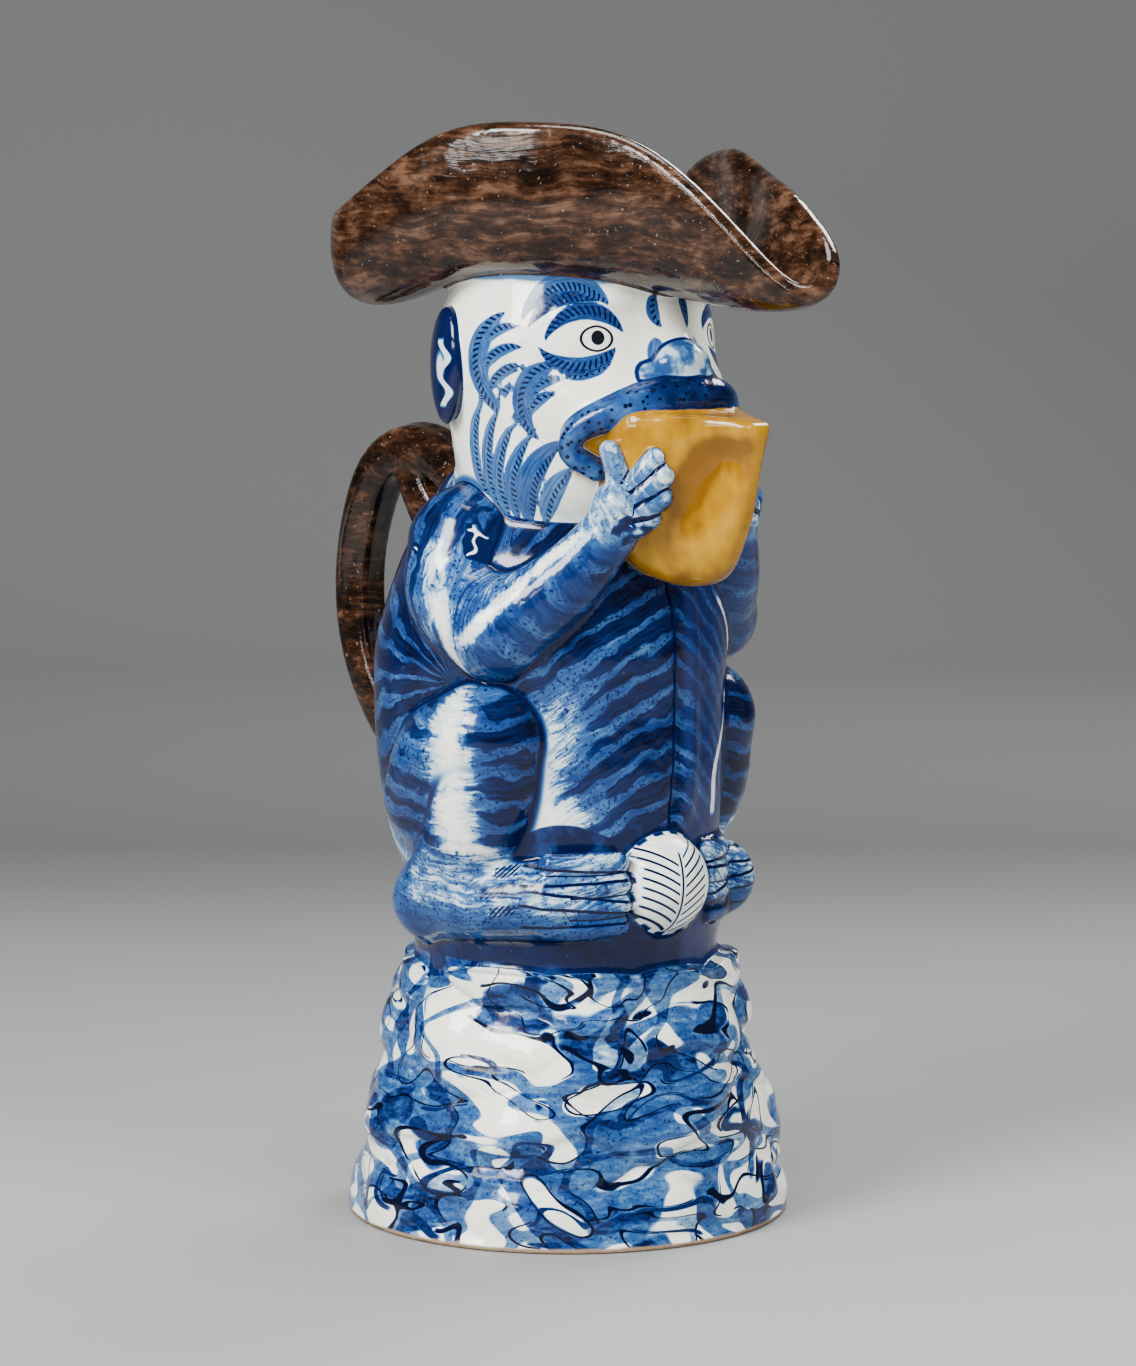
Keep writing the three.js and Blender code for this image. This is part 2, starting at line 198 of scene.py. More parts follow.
def press(softness, *masses):
    """Masses pressed together softly."""
    def distance(x, y, z):
        total = masses[0].near(x, y, z)
        for mass in masses[1:]:
            total = soften(total, mass.near(x, y, z), softness)
        return total

    low = np.min([mass.low for mass in masses], axis=0)
    high = np.max([mass.high for mass in masses], axis=0)
    return Clay(distance, low, high)


def mirrored(points, side):
    return [(x * side, *rest) for x, *rest in points]


# ---------------------------------------------------------------- the rocky foot and the trunk
ROCK_ROWS = [  # height, half height, rocks round, turn, bulge
    (9, 11, 8, 0.3, 2.8),
    (28, 11, 7, 1.4, 3.4),
    (47, 11, 7, 2.9, 3.2),
]
ROCK_RELIEF = 0.8  # share of the bulges that shows
ROCK_SINK = 1.7  # how far the hollows between them go in
STONE_ROWS, STONE_START, STONE_PITCH = 7, -3, 10.5
STONE_GIRTH = 48  # radius that widths round the foot are told on
FOOT = [
    (-9, FOOT_RADIUS, FOOT_RADIUS, 0),
    (2, FOOT_RADIUS, FOOT_RADIUS, 0),
    (22, 50.2, 50.2, 0),
    (38, 46.6, 46.6, 0),
    (52, 42.8, 42.8, 0),
    (LEDGE_HEIGHT - 1, 40.2, 40.2, 0),
]


def stones(turn, z):
    """How far the single stones stand out or in: rows set at random, each leaning over the next."""
    random = np.random.default_rng(5)
    total = np.full(turn.shape, 1e-9)
    weighed = np.zeros(turn.shape)
    for row in range(STONE_ROWS):
        count = 9 + row % 2
        for i in range(count):
            place = (i + 0.5 * (row % 2) + random.uniform(-0.28, 0.28)) / count * 2 * math.pi
            height = STONE_START + row * STONE_PITCH + random.uniform(-2.8, 2.8)
            stand = random.uniform(-0.5, 0.8)
            wide, tall = random.uniform(13, 19), random.uniform(6.5, 9)
            across = (np.remainder(turn - place + math.pi, 2 * math.pi) - math.pi) * STONE_GIRTH
            away = (across / wide) ** 2 + ((z - height) / tall) ** 2
            weight = np.exp(-6 * np.minimum(away, 9))
            total += weight
            weighed += weight * (stand - 0.10 * (z - height) - 1.1 * away)
    return weighed / total + 0.45


def rocks():
    cone = barrel(FOOT)

    def distance(x, y, z):
        turn = np.arctan2(-x, -y)
        relief = np.full(x.shape, -FAR)
        for height, half, count, shift, bulge in ROCK_ROWS:
            drift = 3.5 * np.sin(2 * turn + shift) + 2 * np.sin(5 * turn + 2 * shift)
            off = (z - height - drift) / half
            lump = bulge * np.maximum(0, 1 - off * off) * (0.6 + 0.4 * np.sin(count * turn + shift))
            relief = np.maximum(relief, lump)
        inside = (1 - smooth(z, LEDGE_HEIGHT - 7, LEDGE_HEIGHT)) * smooth(z, 0, 7)
        relief = (relief * ROCK_RELIEF - ROCK_SINK) * inside
        return cone.distance(x, y, z) - relief - stones(turn, z) * smooth(z, 0, 6)

    return Clay(distance, cone.low, cone.high)


TRUNK = [
    # height, half width, half depth, centre
    (LEDGE_HEIGHT - 8, 36, 36, 0),
    (LEDGE_HEIGHT + 4, 36.5, 37, 1),
    (82, 36, 39, 3.5),
    (92, 38, 42, 5),
    (108, 39.5, 44.5, 6.5),
    (124, 40.5, 44.5, 7),
    (138, 41, 44, 6),
    (150, 38.5, 41.5, 4.5),
    (160, 35, 38, 4),
    (168, 30, 34, 4),
    (176, 26, 30, 3),
    (183, 22, 24, 1),
]

# ---------------------------------------------------------------- arms and legs
SHOULDER = (27, 5, 162, 14.5)
UPPER_ARM = (32.5, 1, 151, 13)
ELBOW = (34.5, -13.5, 143, 10.6)
FOREARM = (26.5, -26.5, 154, 8.6)
WRIST = (20, -35, 165.5, 6.8)
PALM = (19, -38.5, 173, 6.2)

HIP = (29.5, 9.5, 102.5, 15.5)
THIGH = (32.5, 2, 111.5, 15.5)
KNEE = (33.5, -10, 118, 14)
SHIN = (34, -7.5, 99, 12.4)
HEEL = (33, 10, 77.5, 9.6)
INSTEP = (33.5, -7, 79, 9.4)
SOLE = (26.5, -24, 80.5, 9.6)

NUT_AT = (-3, -36, 83.5)
NUT_RADII = (12, 10.5, 12)
FINGER_TIPS = [
    (21, -37.5, 186),
    (14.5, -46, 184.3),
    (13.5, -47.8, 180),
    (13.5, -47.5, 175),
    (15, -45.5, 170.3),
]
FINGER_RADIUS = 2.3
FINGER_PITCH = 2.6
TOE_COUNT = 4
TOE_LOW = 74.6
TOE_PITCH = 4.9
TOE_RADIUS = 3.1
TOE_REACH = 13.8


def finger(side, i):
    x, y, z, _ = PALM
    knuckle = (x - 0.5, y - min(i, 3) * 0.8, z + 4.5 - i * FINGER_PITCH, FINGER_RADIUS + 0.4)
    tip = (*FINGER_TIPS[i], FINGER_RADIUS)
    middle = tuple((a + b) / 2 for a, b in zip(knuckle, tip))
    joint = (middle[0] + 0.5, middle[1] - 0.8, middle[2], FINGER_RADIUS + 0.3)
    return roll(mirrored([knuckle, joint, tip], side), 3)


def toe(side, i):
    tip = NUT_AT[0] + side * TOE_REACH
    z = TOE_LOW + i * TOE_PITCH
    bow = 1.4 * math.sin(math.pi * (i + 0.5) / TOE_COUNT)
    return roll([
        (tip + side * 12.5, -26.5 - bow, z, TOE_RADIUS),
        (tip + side * 6.5, -32.5 - bow, z, TOE_RADIUS),
        (tip, -36 - bow, z + 0.4, TOE_RADIUS * 0.8),
    ], 3)


# ---------------------------------------------------------------- the head
SKULL = [
    (160, 17, 17, HEAD_CENTRE),
    (167, 25, 24, HEAD_CENTRE),
    (176, 28.5, 27, HEAD_CENTRE),
    (190, 30.5, 29.5, HEAD_CENTRE),
    (204, 33, 32, HEAD_CENTRE),
    (213, 33, 32.5, HEAD_CENTRE),
    (JOINT_HEIGHT, JOINT_RADIUS + 1, JOINT_RADIUS + 1, HEAD_CENTRE),
    (JOINT_HEIGHT + 5, JOINT_RADIUS, JOINT_RADIUS, HEAD_CENTRE),
]
NOSE_AT = (0, -39, 204.5)
NOSE_RADII = (8, 6.4, 6.3)
EYE_AT = (14.6, -27.4, 211)
EYE_RADIUS = 4
LIP = [
    (0, -42, 197.5, 5.6),
    (9, -41, 197, 5),
    (17.5, -35.5, 194.5, 3.8),
    (23.3, -29.5, 190.5, 2.9),
    (24, -27.5, 185, 2.6),
    (19, -31, 180.8, 2.5),
]
EAR_AT = (31, 8, 204.5)

# ---------------------------------------------------------------- the fruit
FRUIT_BACK = -26
FRUIT_TIP = -67.5
FRUIT = [
    # share of the way to the tip, top, underside, half width
    (0, 190, 161, 15),
    (0.28, 194.5, 155, 19),
    (0.5, 194.5, 154, 14.5),
    (0.7, 194, 158, 8),
    (0.88, 193, 171, 4.2),
    (1, 192, 186, 2.4),
]
DENT = [(7, -58, 184, 0), (10, -52, 174, 0), (15, -44, 162, 0)]  # the soft hollow in its side
DENT_DEPTH = 3.2
DENT_WIDTH = 6
TIP_SLOPE = 0.2  # how far the front edge falls back for each millimetre down


def fruit():
    share, top, low, half = spline(FRUIT).T
    dent = along_roll(DENT)
    places = FRUIT_BACK + (FRUIT_TIP - FRUIT_BACK) * share

    def distance(x, y, z):
        t, u, h = (np.interp(-y, -places, column) for column in (top, low, half))
        h = np.maximum(h, 0.8)
        tall = (t - u) / 2
        up = (z - (t + u) / 2) / tall
        power = 2.3 + 11 * smooth(up, 0.2, 0.95)
        keel = smooth((FRUIT_BACK - y) / (FRUIT_BACK - FRUIT_TIP), 0.4, 0.95) * smooth(-up, -0.8, 0.5)
        h = h * (1 - 0.35 * keel)
        flat = ((np.abs(x) / h) ** power + np.abs(up) ** power) ** (1 / power)
        from_dent = dent(np.abs(x), y, z)[0] / DENT_WIDTH
        pressed = DENT_DEPTH * smooth(-up, -0.92, -0.4) * np.exp(-(from_dent**2))
        front = FRUIT_TIP + TIP_SLOPE * (193 - z) - y
        return -soften(-(flat - 1) * np.minimum(h, tall) - pressed, -front, 2.5)

    return Clay(distance, (-20, FRUIT_TIP, 153), (20, FRUIT_BACK, 196))


# ---------------------------------------------------------------- the hat
PROW_REACH = 88.5
PROW_WIDTH = 12
PROW_DROP = 35
PROW_DROP_WIDTH = 8
PROW_DROP_AT = 2.5
PROW_BLUNT = 4
FLAP_REACH = 41
CORNER_AT = 128
CORNER_SPREAD = 30
CORNER_REACH = 56
CORNER_FALL = 20
BACK_DIP = 7
TILT = 0.1
# the left flap swells out and dips beside the prow: how far, at how many degrees, over how many
LEFT_SWELL, SWELL_AT, SWELL_SPREAD = 4, 26, 13
LEFT_DIP, DIP_AT, DIP_SPREAD = 5, 24, 16
LEFT_LOW = 1.8  # and it is lower all along


def brim(turn, share):
    """A point half way through the brim, from where it leaves the head (share 0) to the rim (share 1)."""
    half = BRIM_THICKNESS / 2
    degrees = np.abs(np.degrees(turn))
    left = smooth(-np.degrees(turn), 0, 8)
    prow = np.exp((PROW_BLUNT - np.hypot(degrees, PROW_BLUNT)) / PROW_WIDTH)
    aside = np.degrees(turn) - PROW_DROP_AT
    drop = np.exp((PROW_BLUNT - np.hypot(aside, PROW_BLUNT)) / PROW_DROP_WIDTH) * PROW_DROP
    corner = np.exp(-(((degrees - CORNER_AT) / CORNER_SPREAD) ** 2))
    back = smooth(degrees, 140, 180)
    rim = FLAP_REACH + (CORNER_REACH - FLAP_REACH) * corner
    rim = rim + (PROW_REACH - rim) * prow - half - back * 2
    rim = rim + left * LEFT_SWELL * np.exp(-(((degrees - SWELL_AT) / SWELL_SPREAD) ** 2))
    drop = drop + corner * CORNER_FALL + back * BACK_DIP
    fold = rim + 4 - prow * 16
    fold_height = JOINT_HEIGHT - prow * 9 - corner * 20
    a, b, c = (1 - share) ** 2, 2 * share * (1 - share), share**2
    reach = a * (JOINT_RADIUS - 3.4) + b * fold + c * rim
    height = a * JOINT_HEIGHT + b * fold_height + c * (RIM_HEIGHT - drop) + half * (1 - 2 * c)
    x, y = -np.sin(turn) * reach, -np.cos(turn) * reach
    dip = left * (LEFT_DIP * np.exp(-(((degrees - DIP_AT) / DIP_SPREAD) ** 2)) + LEFT_LOW) * (1 - back)
    return x, y, height - TILT * x * (1 - 0.5 * c) - c * dip


def hat():
    columns, rows = 240, 36
    turn, share = np.meshgrid(np.linspace(0, 2 * math.pi, columns, endpoint=False), np.linspace(0, 1, rows))
    turn = np.where(turn > math.pi, turn - 2 * math.pi, turn)
    turn = turn - 0.45 * np.sin(turn)
    points = np.stack(brim(turn, share), axis=-1).reshape(-1, 3)
    faces = []
    for row in range(rows - 1):
        for column in range(columns):
            beside = (column + 1) % columns
            corners = [(row, column), (row, beside), (row + 1, beside), (row + 1, column)]
            faces.append([r * columns + c for r, c in corners])
    tree = BVHTree.FromPolygons([tuple(p) for p in points], faces)
    find = tree.find_nearest
    reach = REACH + BRIM_THICKNESS

    def distance(x, y, z):
        found = np.full(x.shape, FAR)
        for i, place in enumerate(zip(x.tolist(), y.tolist(), z.tolist())):
            gap = find(place, reach)[3]
            if gap is not None:
                found[i] = gap
        rolled = 0.35 * smooth(z, RIM_HEIGHT - 12, RIM_HEIGHT)
        return found - BRIM_THICKNESS / 2 - rolled

    half = BRIM_THICKNESS / 2
    return Clay(distance, points.min(0) - half, points.max(0) + half)


# ---------------------------------------------------------------- the handle
STEM = [
    (0, 33, 173, 6.8),
    (0, 46, 180.5, 6.2),
    (0, 58, 182.5, 6),
    (0, 69.5, 176, 6),
    (0, 77, 161, 6),
    (0, 79, 146, 5.9),
    (0, 76, 130, 5.8),
    (0, 68, 115.5, 5.6),
    (0, 56, 104, 5.8),
    (0, 42, 97, 7),
]
FORK = [
    (0, 36, 155, 6.5),
    (0, 48, 164, 5.6),
    (0, 55, 175, 5.4),
    (0, 58, 181, 5),
]

# ---------------------------------------------------------------- the hollow
HOLLOW = [
    # height, half width, half depth, centre
    (FLOOR, 40, 40, 0),
    (FLOOR + 4, 44, 44, 0),
    (38, 38.5, 38.5, 0),
    (62, 31, 31, 0.5),
    (80, 28.5, 30, 2),
    (106, 31.5, 36.5, 4.5),
    (124, 33, 37, 4.5),
    (140, 32.5, 36.5, 4.5),
    (154, 27, 30, 4),
    (164, 20, 22.5, 3),
    (174, 16.5, 17.5, 0),
    (184, 19, 18.5, HEAD_CENTRE),
    (198, 25, 24, HEAD_CENTRE),
    (210, 26.5, 25, HEAD_CENTRE),
    (217, 23.5, 23.5, HEAD_CENTRE),
    (JOINT_HEIGHT + 3, 22, 22, HEAD_CENTRE),
    (RIM_HEIGHT - 23.5, 22.5, 22.5, HEAD_CENTRE),
]


def creased(trunk):
    """The trunk with the long fold down the middle of its front."""
    def distance(x, y, z):
        middle = 1.6 - 0.0022 * (z - 128) ** 2
        fold = 1.5 * np.exp(-(((x - middle) / 1.5) ** 2)) - 0.9 * np.exp(-(((x - middle - 4.5) / 2.5) ** 2))
        front = smooth(-y, 20, 30) * smooth(z, 94, 102) * (1 - smooth(z, 152, 160))
        return trunk.distance(x, y, z) + fold * front

    return Clay(distance, trunk.low, trunk.high)


def figure_masses():
    """Every mass of clay with the softness it is pressed on with, in the order it is put on."""
    masses = {
        "rocks": (rocks(), 1),
        "trunk": (creased(press(6, barrel(TRUNK), ball((0, -3, 76), (37, 36, 12)))), 2.5),
    }
    for word, side in SIDES.items():
        arm = press(4, roll(mirrored([SHOULDER, UPPER_ARM, ELBOW], side)),
                    roll(mirrored([ELBOW, FOREARM, WRIST, PALM], side)))
        masses[word + " arm"] = (arm, 1.8)
        masses[word + " thigh"] = (roll(mirrored([HIP, THIGH, KNEE], side)), 1.3)
        shin = roll(mirrored([KNEE, SHIN, HEEL], side))
        sole = roll(mirrored([HEEL, INSTEP, SOLE], side))
        masses[word + " leg"] = (press(4, shin, sole), 1.6)
    skull = press(7, barrel(SKULL), ball((0, -21, 195), (25.5, 21, 17)), ball((0, -11, 178), (26, 21, 15)),
                  roll([(0, -28, 219, 4.5), (0, -32, 211, 5), (0, -37, 205, 5.5)]))
    brows = [roll(mirrored([(5, -31.5, 219, 2.4), (13, -29, 219.5, 3), (22, -22.5, 216, 2.2)], side))
             for side in SIDES.values()]
    masses["head"] = (press(2, skull, *brows), 2.5)
    masses["lips"] = (press(1.5, *[roll(mirrored(LIP, side)) for side in SIDES.values()]), 2)
    wings = [ball((side * 8, -36.2, 202), (4, 4.8, 4)) for side in SIDES.values()]
    masses["nose"] = (press(1.5, ball(NOSE_AT, NOSE_RADII), *wings), 1.5)
    for word, side in SIDES.items():
        x, y, z = EYE_AT
        masses[word + " eye"] = (ball((x * side, y, z), (EYE_RADIUS, EYE_RADIUS, EYE_RADIUS * 0.8)), 1.5)
        x, y, z = EAR_AT
        masses[word + " ear"] = (ball((x * side, y, z), (3.2, 8.4, 13.8), side * 22), 1.5)
    masses["fruit"] = (fruit(), 1.2)
    masses["nut"] = (ball(NUT_AT, NUT_RADII), 1.5)
    for word, side in SIDES.items():
        for i in range(len(FINGER_TIPS)):
            masses[f"{word} finger {i}"] = (finger(side, i), 0.8)
        for i in range(TOE_COUNT):
            masses[f"{word} toe {i}"] = (toe(side, i), 0.9)
    masses["hat"] = (hat(), 2)
    masses["stem"] = (fluted(roll(STEM, 4)), 2)
    masses["fork"] = (fluted(roll(FORK, 4)), 2)
    return masses


MASSES = figure_masses()
EMPTY = barrel(HOLLOW)


def jug(x, y, z):
    """The distance from the skin of the whole jug."""
    total = np.full(x.shape, FAR)
    for mass, softness in MASSES.values():
        total = soften(total, mass.near(x, y, z), softness)
    total = -soften(-total, EMPTY.near(x, y, z), EMPTY_SOFTNESS)
    return -soften(-total, z, BASE_SOFTNESS)


# ---------------------------------------------------------------- the skin
def field(axes):
    """The distance at every node of a grid, each mass filled in only where it is felt."""
    total = np.full([len(axis) for axis in axes], FAR, np.float32)

    def window(mass):
        return tuple(slice(*np.searchsorted(axis, (low - REACH / 2, high + REACH / 2)))
                     for axis, low, high in zip(axes, mass.low, mass.high))

    def spread(part, distance):
        grids = np.meshgrid(*(axis[cut] for axis, cut in zip(axes, part)), indexing="ij")
        shape = grids[0].shape
        return distance(*(grid.ravel() for grid in grids)).reshape(shape)

    for mass, softness in MASSES.values():
        part = window(mass)
        total[part] = soften(total[part], spread(part, mass.distance), softness)
    part = window(EMPTY)
    total[part] = -soften(-total[part], spread(part, EMPTY.distance), EMPTY_SOFTNESS)
    return -soften(-total, axes[2][None, None, :].astype(np.float32), BASE_SOFTNESS)


def skin(values, corner, step):
    """The surface where the values pass through zero: points, and four-cornered faces facing out."""
    inside = values < 0
    shape = np.array(values.shape) - 1
    corners = [np.array(c) for c in np.ndindex(2, 2, 2)]
    count = 0
    for offset in corners:
        count = count + inside[tuple(slice(c, c + n) for c, n in zip(offset, shape))].astype(np.int8)
    cells = np.argwhere((count > 0) & (count < 8))
    index = np.full(shape, -1, np.int64)
    index[tuple(cells.T)] = np.arange(len(cells))
    total = np.zeros((len(cells), 3))
    hits = np.zeros(len(cells))
    for offset in corners:
        for axis in range(3):
            if offset[axis]:
                continue
            a = values[tuple((cells + offset).T)]
            b = values[tuple((cells + offset + np.eye(3, dtype=int)[axis]).T)]
            crossed = (a < 0) != (b < 0)
            share = np.where(crossed, a / np.where(crossed, a - b, 1), 0)
            total += crossed[:, None] * (offset + share[:, None] * np.eye(3)[axis])
            hits += crossed
    points = corner + step * (cells + total / hits[:, None])
    faces = []
    for axis in range(3):
        b, c = np.eye(3, dtype=int)[(axis + 1) % 3], np.eye(3, dtype=int)[(axis + 2) % 3]
        before = np.take(inside, range(shape[axis]), axis)
        after = np.take(inside, range(1, shape[axis] + 1), axis)
        for outward in (True, False):
            edges = np.argwhere(before & ~after if outward else after & ~before)
            ring = [edges, edges - b, edges - b - c, edges - c]
            quads = np.stack([index[tuple(r.T)] for r in ring], axis=1)
            faces.append(quads[:, ::-1] if not outward else quads)
    return points, np.vstack(faces)


def slope(points, eps=0.25):
    """The distance at points and its gradient."""
    corners = np.array([(1, 1, 1), (1, -1, -1), (-1, 1, -1), (-1, -1, 1)])
    values = [jug(*(points + eps * corner).T) for corner in corners]
    gradient = sum(value[:, None] * corner for value, corner in zip(values, corners)) / (4 * eps)
    return sum(values) / 4, gradient


def settle(points, rounds=2):
    """Points moved onto the exact skin, and the skin's normals there."""
    for _ in range(rounds):
        distance, gradient = slope(points)
        steep = np.maximum((gradient**2).sum(1), 0.2)
        move = -gradient * (distance / steep)[:, None]
        length = np.linalg.norm(move, axis=1)[:, None]
        points = points + move * np.minimum(1, CELL * 0.6 / np.maximum(length, 1e-9))
    _, gradient = slope(points)
    return points, gradient / np.maximum(np.linalg.norm(gradient, axis=1)[:, None], 1e-9)


def body_mesh():
    low = np.min([mass.low for mass, _ in MASSES.values()], axis=0) - 2.5 * CELL
    high = np.max([mass.high for mass, _ in MASSES.values()], axis=0) + 2.5 * CELL
    low[2] = -2.6 * CELL
    axes = [np.arange(a, b + CELL, CELL) for a, b in zip(low, high)]
    points, faces = skin(field(axes), low, CELL)
    points, _ = settle(points)
    mesh = bpy.data.meshes.new("jug_body")
    mesh.from_pydata(points.tolist(), [], faces.tolist())
    mesh.validate()
    return mesh


def thin(obj, faces):
    """Collapses the least telling edges until the mesh has about that many triangles."""
    triangles = sum(len(polygon.vertices) - 2 for polygon in obj.data.polygons)
    if triangles <= faces:
        return
    collapse = obj.modifiers.new("thin", "DECIMATE")
    collapse.ratio = faces / triangles
    collapse.use_collapse_triangulate = True
    bpy.context.view_layer.update()
    dressed = bpy.data.meshes.new_from_object(obj.evaluated_get(bpy.context.evaluated_depsgraph_get()))
    obj.modifiers.clear()
    obj.data = dressed


def coordinates(mesh):
    flat = np.empty(len(mesh.vertices) * 3)
    mesh.vertices.foreach_get("co", flat)
    return flat.reshape(-1, 3)


FINE_LOW, FINE_HIGH = (-36, -37, 163), (36, 10, 224)  # the face, which is painted finely


def refine_face(mesh):
    """Halves the triangles over the face."""
    low, high = Vector(FINE_LOW), Vector(FINE_HIGH)
    shape = bmesh.new()
    shape.from_mesh(mesh)
    inside = {v for v in shape.verts if all(a < c < b for a, c, b in zip(low, v.co, high))}
    edges = [edge for edge in shape.edges if edge.verts[0] in inside and edge.verts[1] in inside]
    bmesh.ops.subdivide_edges(shape, edges=edges, cuts=1, use_grid_fill=True)
    bmesh.ops.triangulate(shape, faces=[face for face in shape.faces if len(face.verts) > 3])
    shape.to_mesh(mesh)
    shape.free()


def placed(name, data):
    """A new object in the scene."""
    obj = bpy.data.objects.new(name, data)
    bpy.context.scene.collection.objects.link(obj)
    return obj


def build_body():
    obj = placed("jug_body", body_mesh())
    thin(obj, FACE_BUDGET)
    mesh = obj.data
    refine_face(mesh)
    points, normals = settle(coordinates(mesh), 1)
    low, high = points.min(0), points.max(0)
    fitted = NODE_LOW + (points - low) / (high - low) * (NODE_HIGH - NODE_LOW)
    mesh.vertices.foreach_set("co", fitted.ravel())
    mesh.polygons.foreach_set("use_smooth", np.ones(len(mesh.polygons), bool))
    mesh.normals_split_custom_set_from_vertices(normals.tolist())
    mesh.update()
    return obj, points


body, POINTS = build_body()

# ---------------------------------------------------------------- where each colour goes
LIMB_NAMES = {
    "arms": [f"{side} {part}" for side in SIDES
             for part in ("arm", *(f"finger {i}" for i in range(len(FINGER_TIPS))))],
    "legs": [f"{side} {part}" for side in SIDES
             for part in ("thigh", "leg", *(f"toe {i}" for i in range(TOE_COUNT)))],
    "thighs": [f"{side} thigh" for side in SIDES],
    "head": ["head", *(f"{side} {part}" for side in SIDES for part in ("eye", "ear"))],
    "ears": [f"{side} ear" for side in SIDES],
}


def margins(points):
    """For each part, how many millimetres its skin stands out of the rest: above 0 on that part."""
    apart = {name: mass.near(*points.T) for name, (mass, _) in MASSES.items()}

    def of(names):
        own = np.min([apart[name] for name in names], axis=0)
        rest = np.min([value for name, value in apart.items() if name not in names], axis=0)
        return np.clip(rest - own, -8, 8)

    found = {word: of(names) for word, names in LIMB_NAMES.items()}
    found.update({name: of([name]) for name in ("rocks", "trunk", "lips", "nose", "fruit", "hat", "nut")})
    found["handle"] = of(["stem", "fork"])
    for word, count in (("toe", TOE_COUNT), ("finger", len(FINGER_TIPS))):
        row = np.array([np.minimum(*[apart[f"{side} {word} {i}"] for side in SIDES]) for i in range(count)])
        ordered = np.sort(row, axis=0)
        apart_from_next = np.where(row.argmin(0) % 2 == 0, 1, -1) * np.clip(ordered[1] - ordered[0], 0, 6)
        found[word + "s"] = np.where(ordered[0] < 0.9, apart_from_next, 3)
    found["inside"] = np.clip(EMPTY.near(*points.T), -2, 30)
    found["arm_gap"] = np.clip(np.min([apart[name] for name in LIMB_NAMES["arms"]], axis=0), -2, 30)
    found["fruit_gap"] = np.clip(apart["fruit"], -2, 30)
    middle = [name for name in apart if not name.startswith(tuple(SIDES))] + LIMB_NAMES["head"][1:]
    groups = (LIMB_NAMES["arms"], LIMB_NAMES["legs"], middle)
    grouped = np.sort([np.min([apart[name] for name in group], axis=0) for group in groups], axis=0)
    found["crease"] = np.clip(grouped[1] - grouped[0], 0, 8)
    return found


FAN_AT = (92, 131)  # degrees round the body and height where the back's brush strokes meet
SIDE_GIRTH = 0.75  # millimetres of skin to a degree round the body
THIGH_EDGE = 50  # degrees round the body to the thigh's front edge
FOOT_TOP = 92  # height where the leg's strokes give way to the foot's
# the bare line along the top of the forearm, left pale as a painted highlight
RIDGE = [(47, -14, 141), (45, -18, 144.5), (32, -28.5, 161), (25, -37, 168.5)]


def chest_strokes(x, z, bend, arm_gap):
    """Strokes that rise to the middle of the chest, full there and thin at the thigh, and fuller under the
    forearm and under the fruit as painted shade.
    """
    out = bend * SIDE_GIRTH
    far = smooth(x, 1.5, 3)
    across = z + 0.36 * out + 0.004 * out**2 + far * 0.3 * out
    load = 1.08 - 0.88 * smooth(out, 11, 40) - 0.25 * (1 - smooth(z, 97, 110))
    load = load * (1 - far) + far * (0.95 - 0.15 * smooth(out, 8, 22))
    # painted shade: the brush is fuller on the chest under the forearm
    load += 0.9 * (1 - smooth(arm_gap, 2, 11)) * (1 - smooth(bend, 60, 75))
    # painted shade: fuller high on the front of the chest, under the fruit
    load += smooth(z, 143, 154) * (1 - smooth(bend, 50, 70))
    return across, load, out


def back_strokes(z, bend):
    """A fan of strokes from the fold under the elbow."""
    behind = (bend - FAN_AT[0]) * SIDE_GIRTH
    above = z - FAN_AT[1]
    distance = np.hypot(behind, above)
    across = np.degrees(np.arctan2(above, behind + 6)) * 0.42
    load = 1.15 - 0.5 * smooth(distance, 10, 50) + 0.2 * np.sin(distance * 0.21)
    load -= 0.15 * smooth(-above, 12, 34)
    return across, load, distance


def leg_strokes(z, bend, thigh):
    """The thigh is full at its front edge, bare in the middle and washed behind; the foot is pale."""
    edge = (bend - THIGH_EDGE) * SIDE_GIRTH
    across = z + 0.12 * edge - 0.006 * (edge - 10) ** 2
    load = 1.05 * (1 - smooth(edge, 6, 20)) + 0.62 * smooth(edge, 19, 34) + 0.25 * smooth(z, 120, 131)
    load -= 0.5 * (1 - smooth(z, 90, 97)) * (1 - smooth(edge, 12, 20))
    load = np.where(z < FOOT_TOP, 0.32 - 0.2 * smooth(z, 80, 90) + 0.45 * smooth(edge, 34, 44), load)
    foot = 0.34 + 0.65 * (1 - smooth(z, 72, 80)) + 0.2 * smooth(edge, 32, 44)
    return across, np.where((z < FOOT_TOP) & ~thigh, foot, load), edge


def arm_strokes(x, y, z, bend):
    """Streaked behind, bare over the elbow, bare along the ridge as a painted highlight, and dark under the
    forearm as painted shade.
    """
    ridge = np.array(RIDGE)
    reach, share = along_roll(np.column_stack([ridge, np.zeros(len(ridge))]))(np.abs(x), y, z)
    under = np.interp(-y, -ridge[:, 1], ridge[:, 2]) - z
    fore = smooth(-y, 9, 17)
    rear_load = 0.5 + 0.45 * smooth(bend, 93, 104)
    rear_load += 0.15 * smooth(z, 158, 168) * (1 - smooth(bend, 98, 106))
    rear_load -= 0.42 * np.exp(-(((bend - 86 - (z - 155) * 0.5) / 4.5) ** 2)) * (1 - smooth(z, 160, 168))
    # painted shade: darker the further under the ridge
    fore_load = 0.42 + 0.65 * smooth(under, 0.5, 9) * (0.6 + 0.4 * smooth(share, 0.1, 0.5))
    # painted highlight: nearly bare along the ridge
    fore_load *= 0.15 + 0.85 * smooth(reach, 0.7, 2.6)
    load = rear_load * (1 - fore) + fore_load * fore
    hand = smooth(z, 164, 170) * fore
    load = load * (1 - hand) + 0.34 * hand
    across = (1 - fore) * bend * 0.62 + fore * (0.4 * z - 0.8 * y)
    return across, load, (1 - fore) * z + fore * (under + 20)


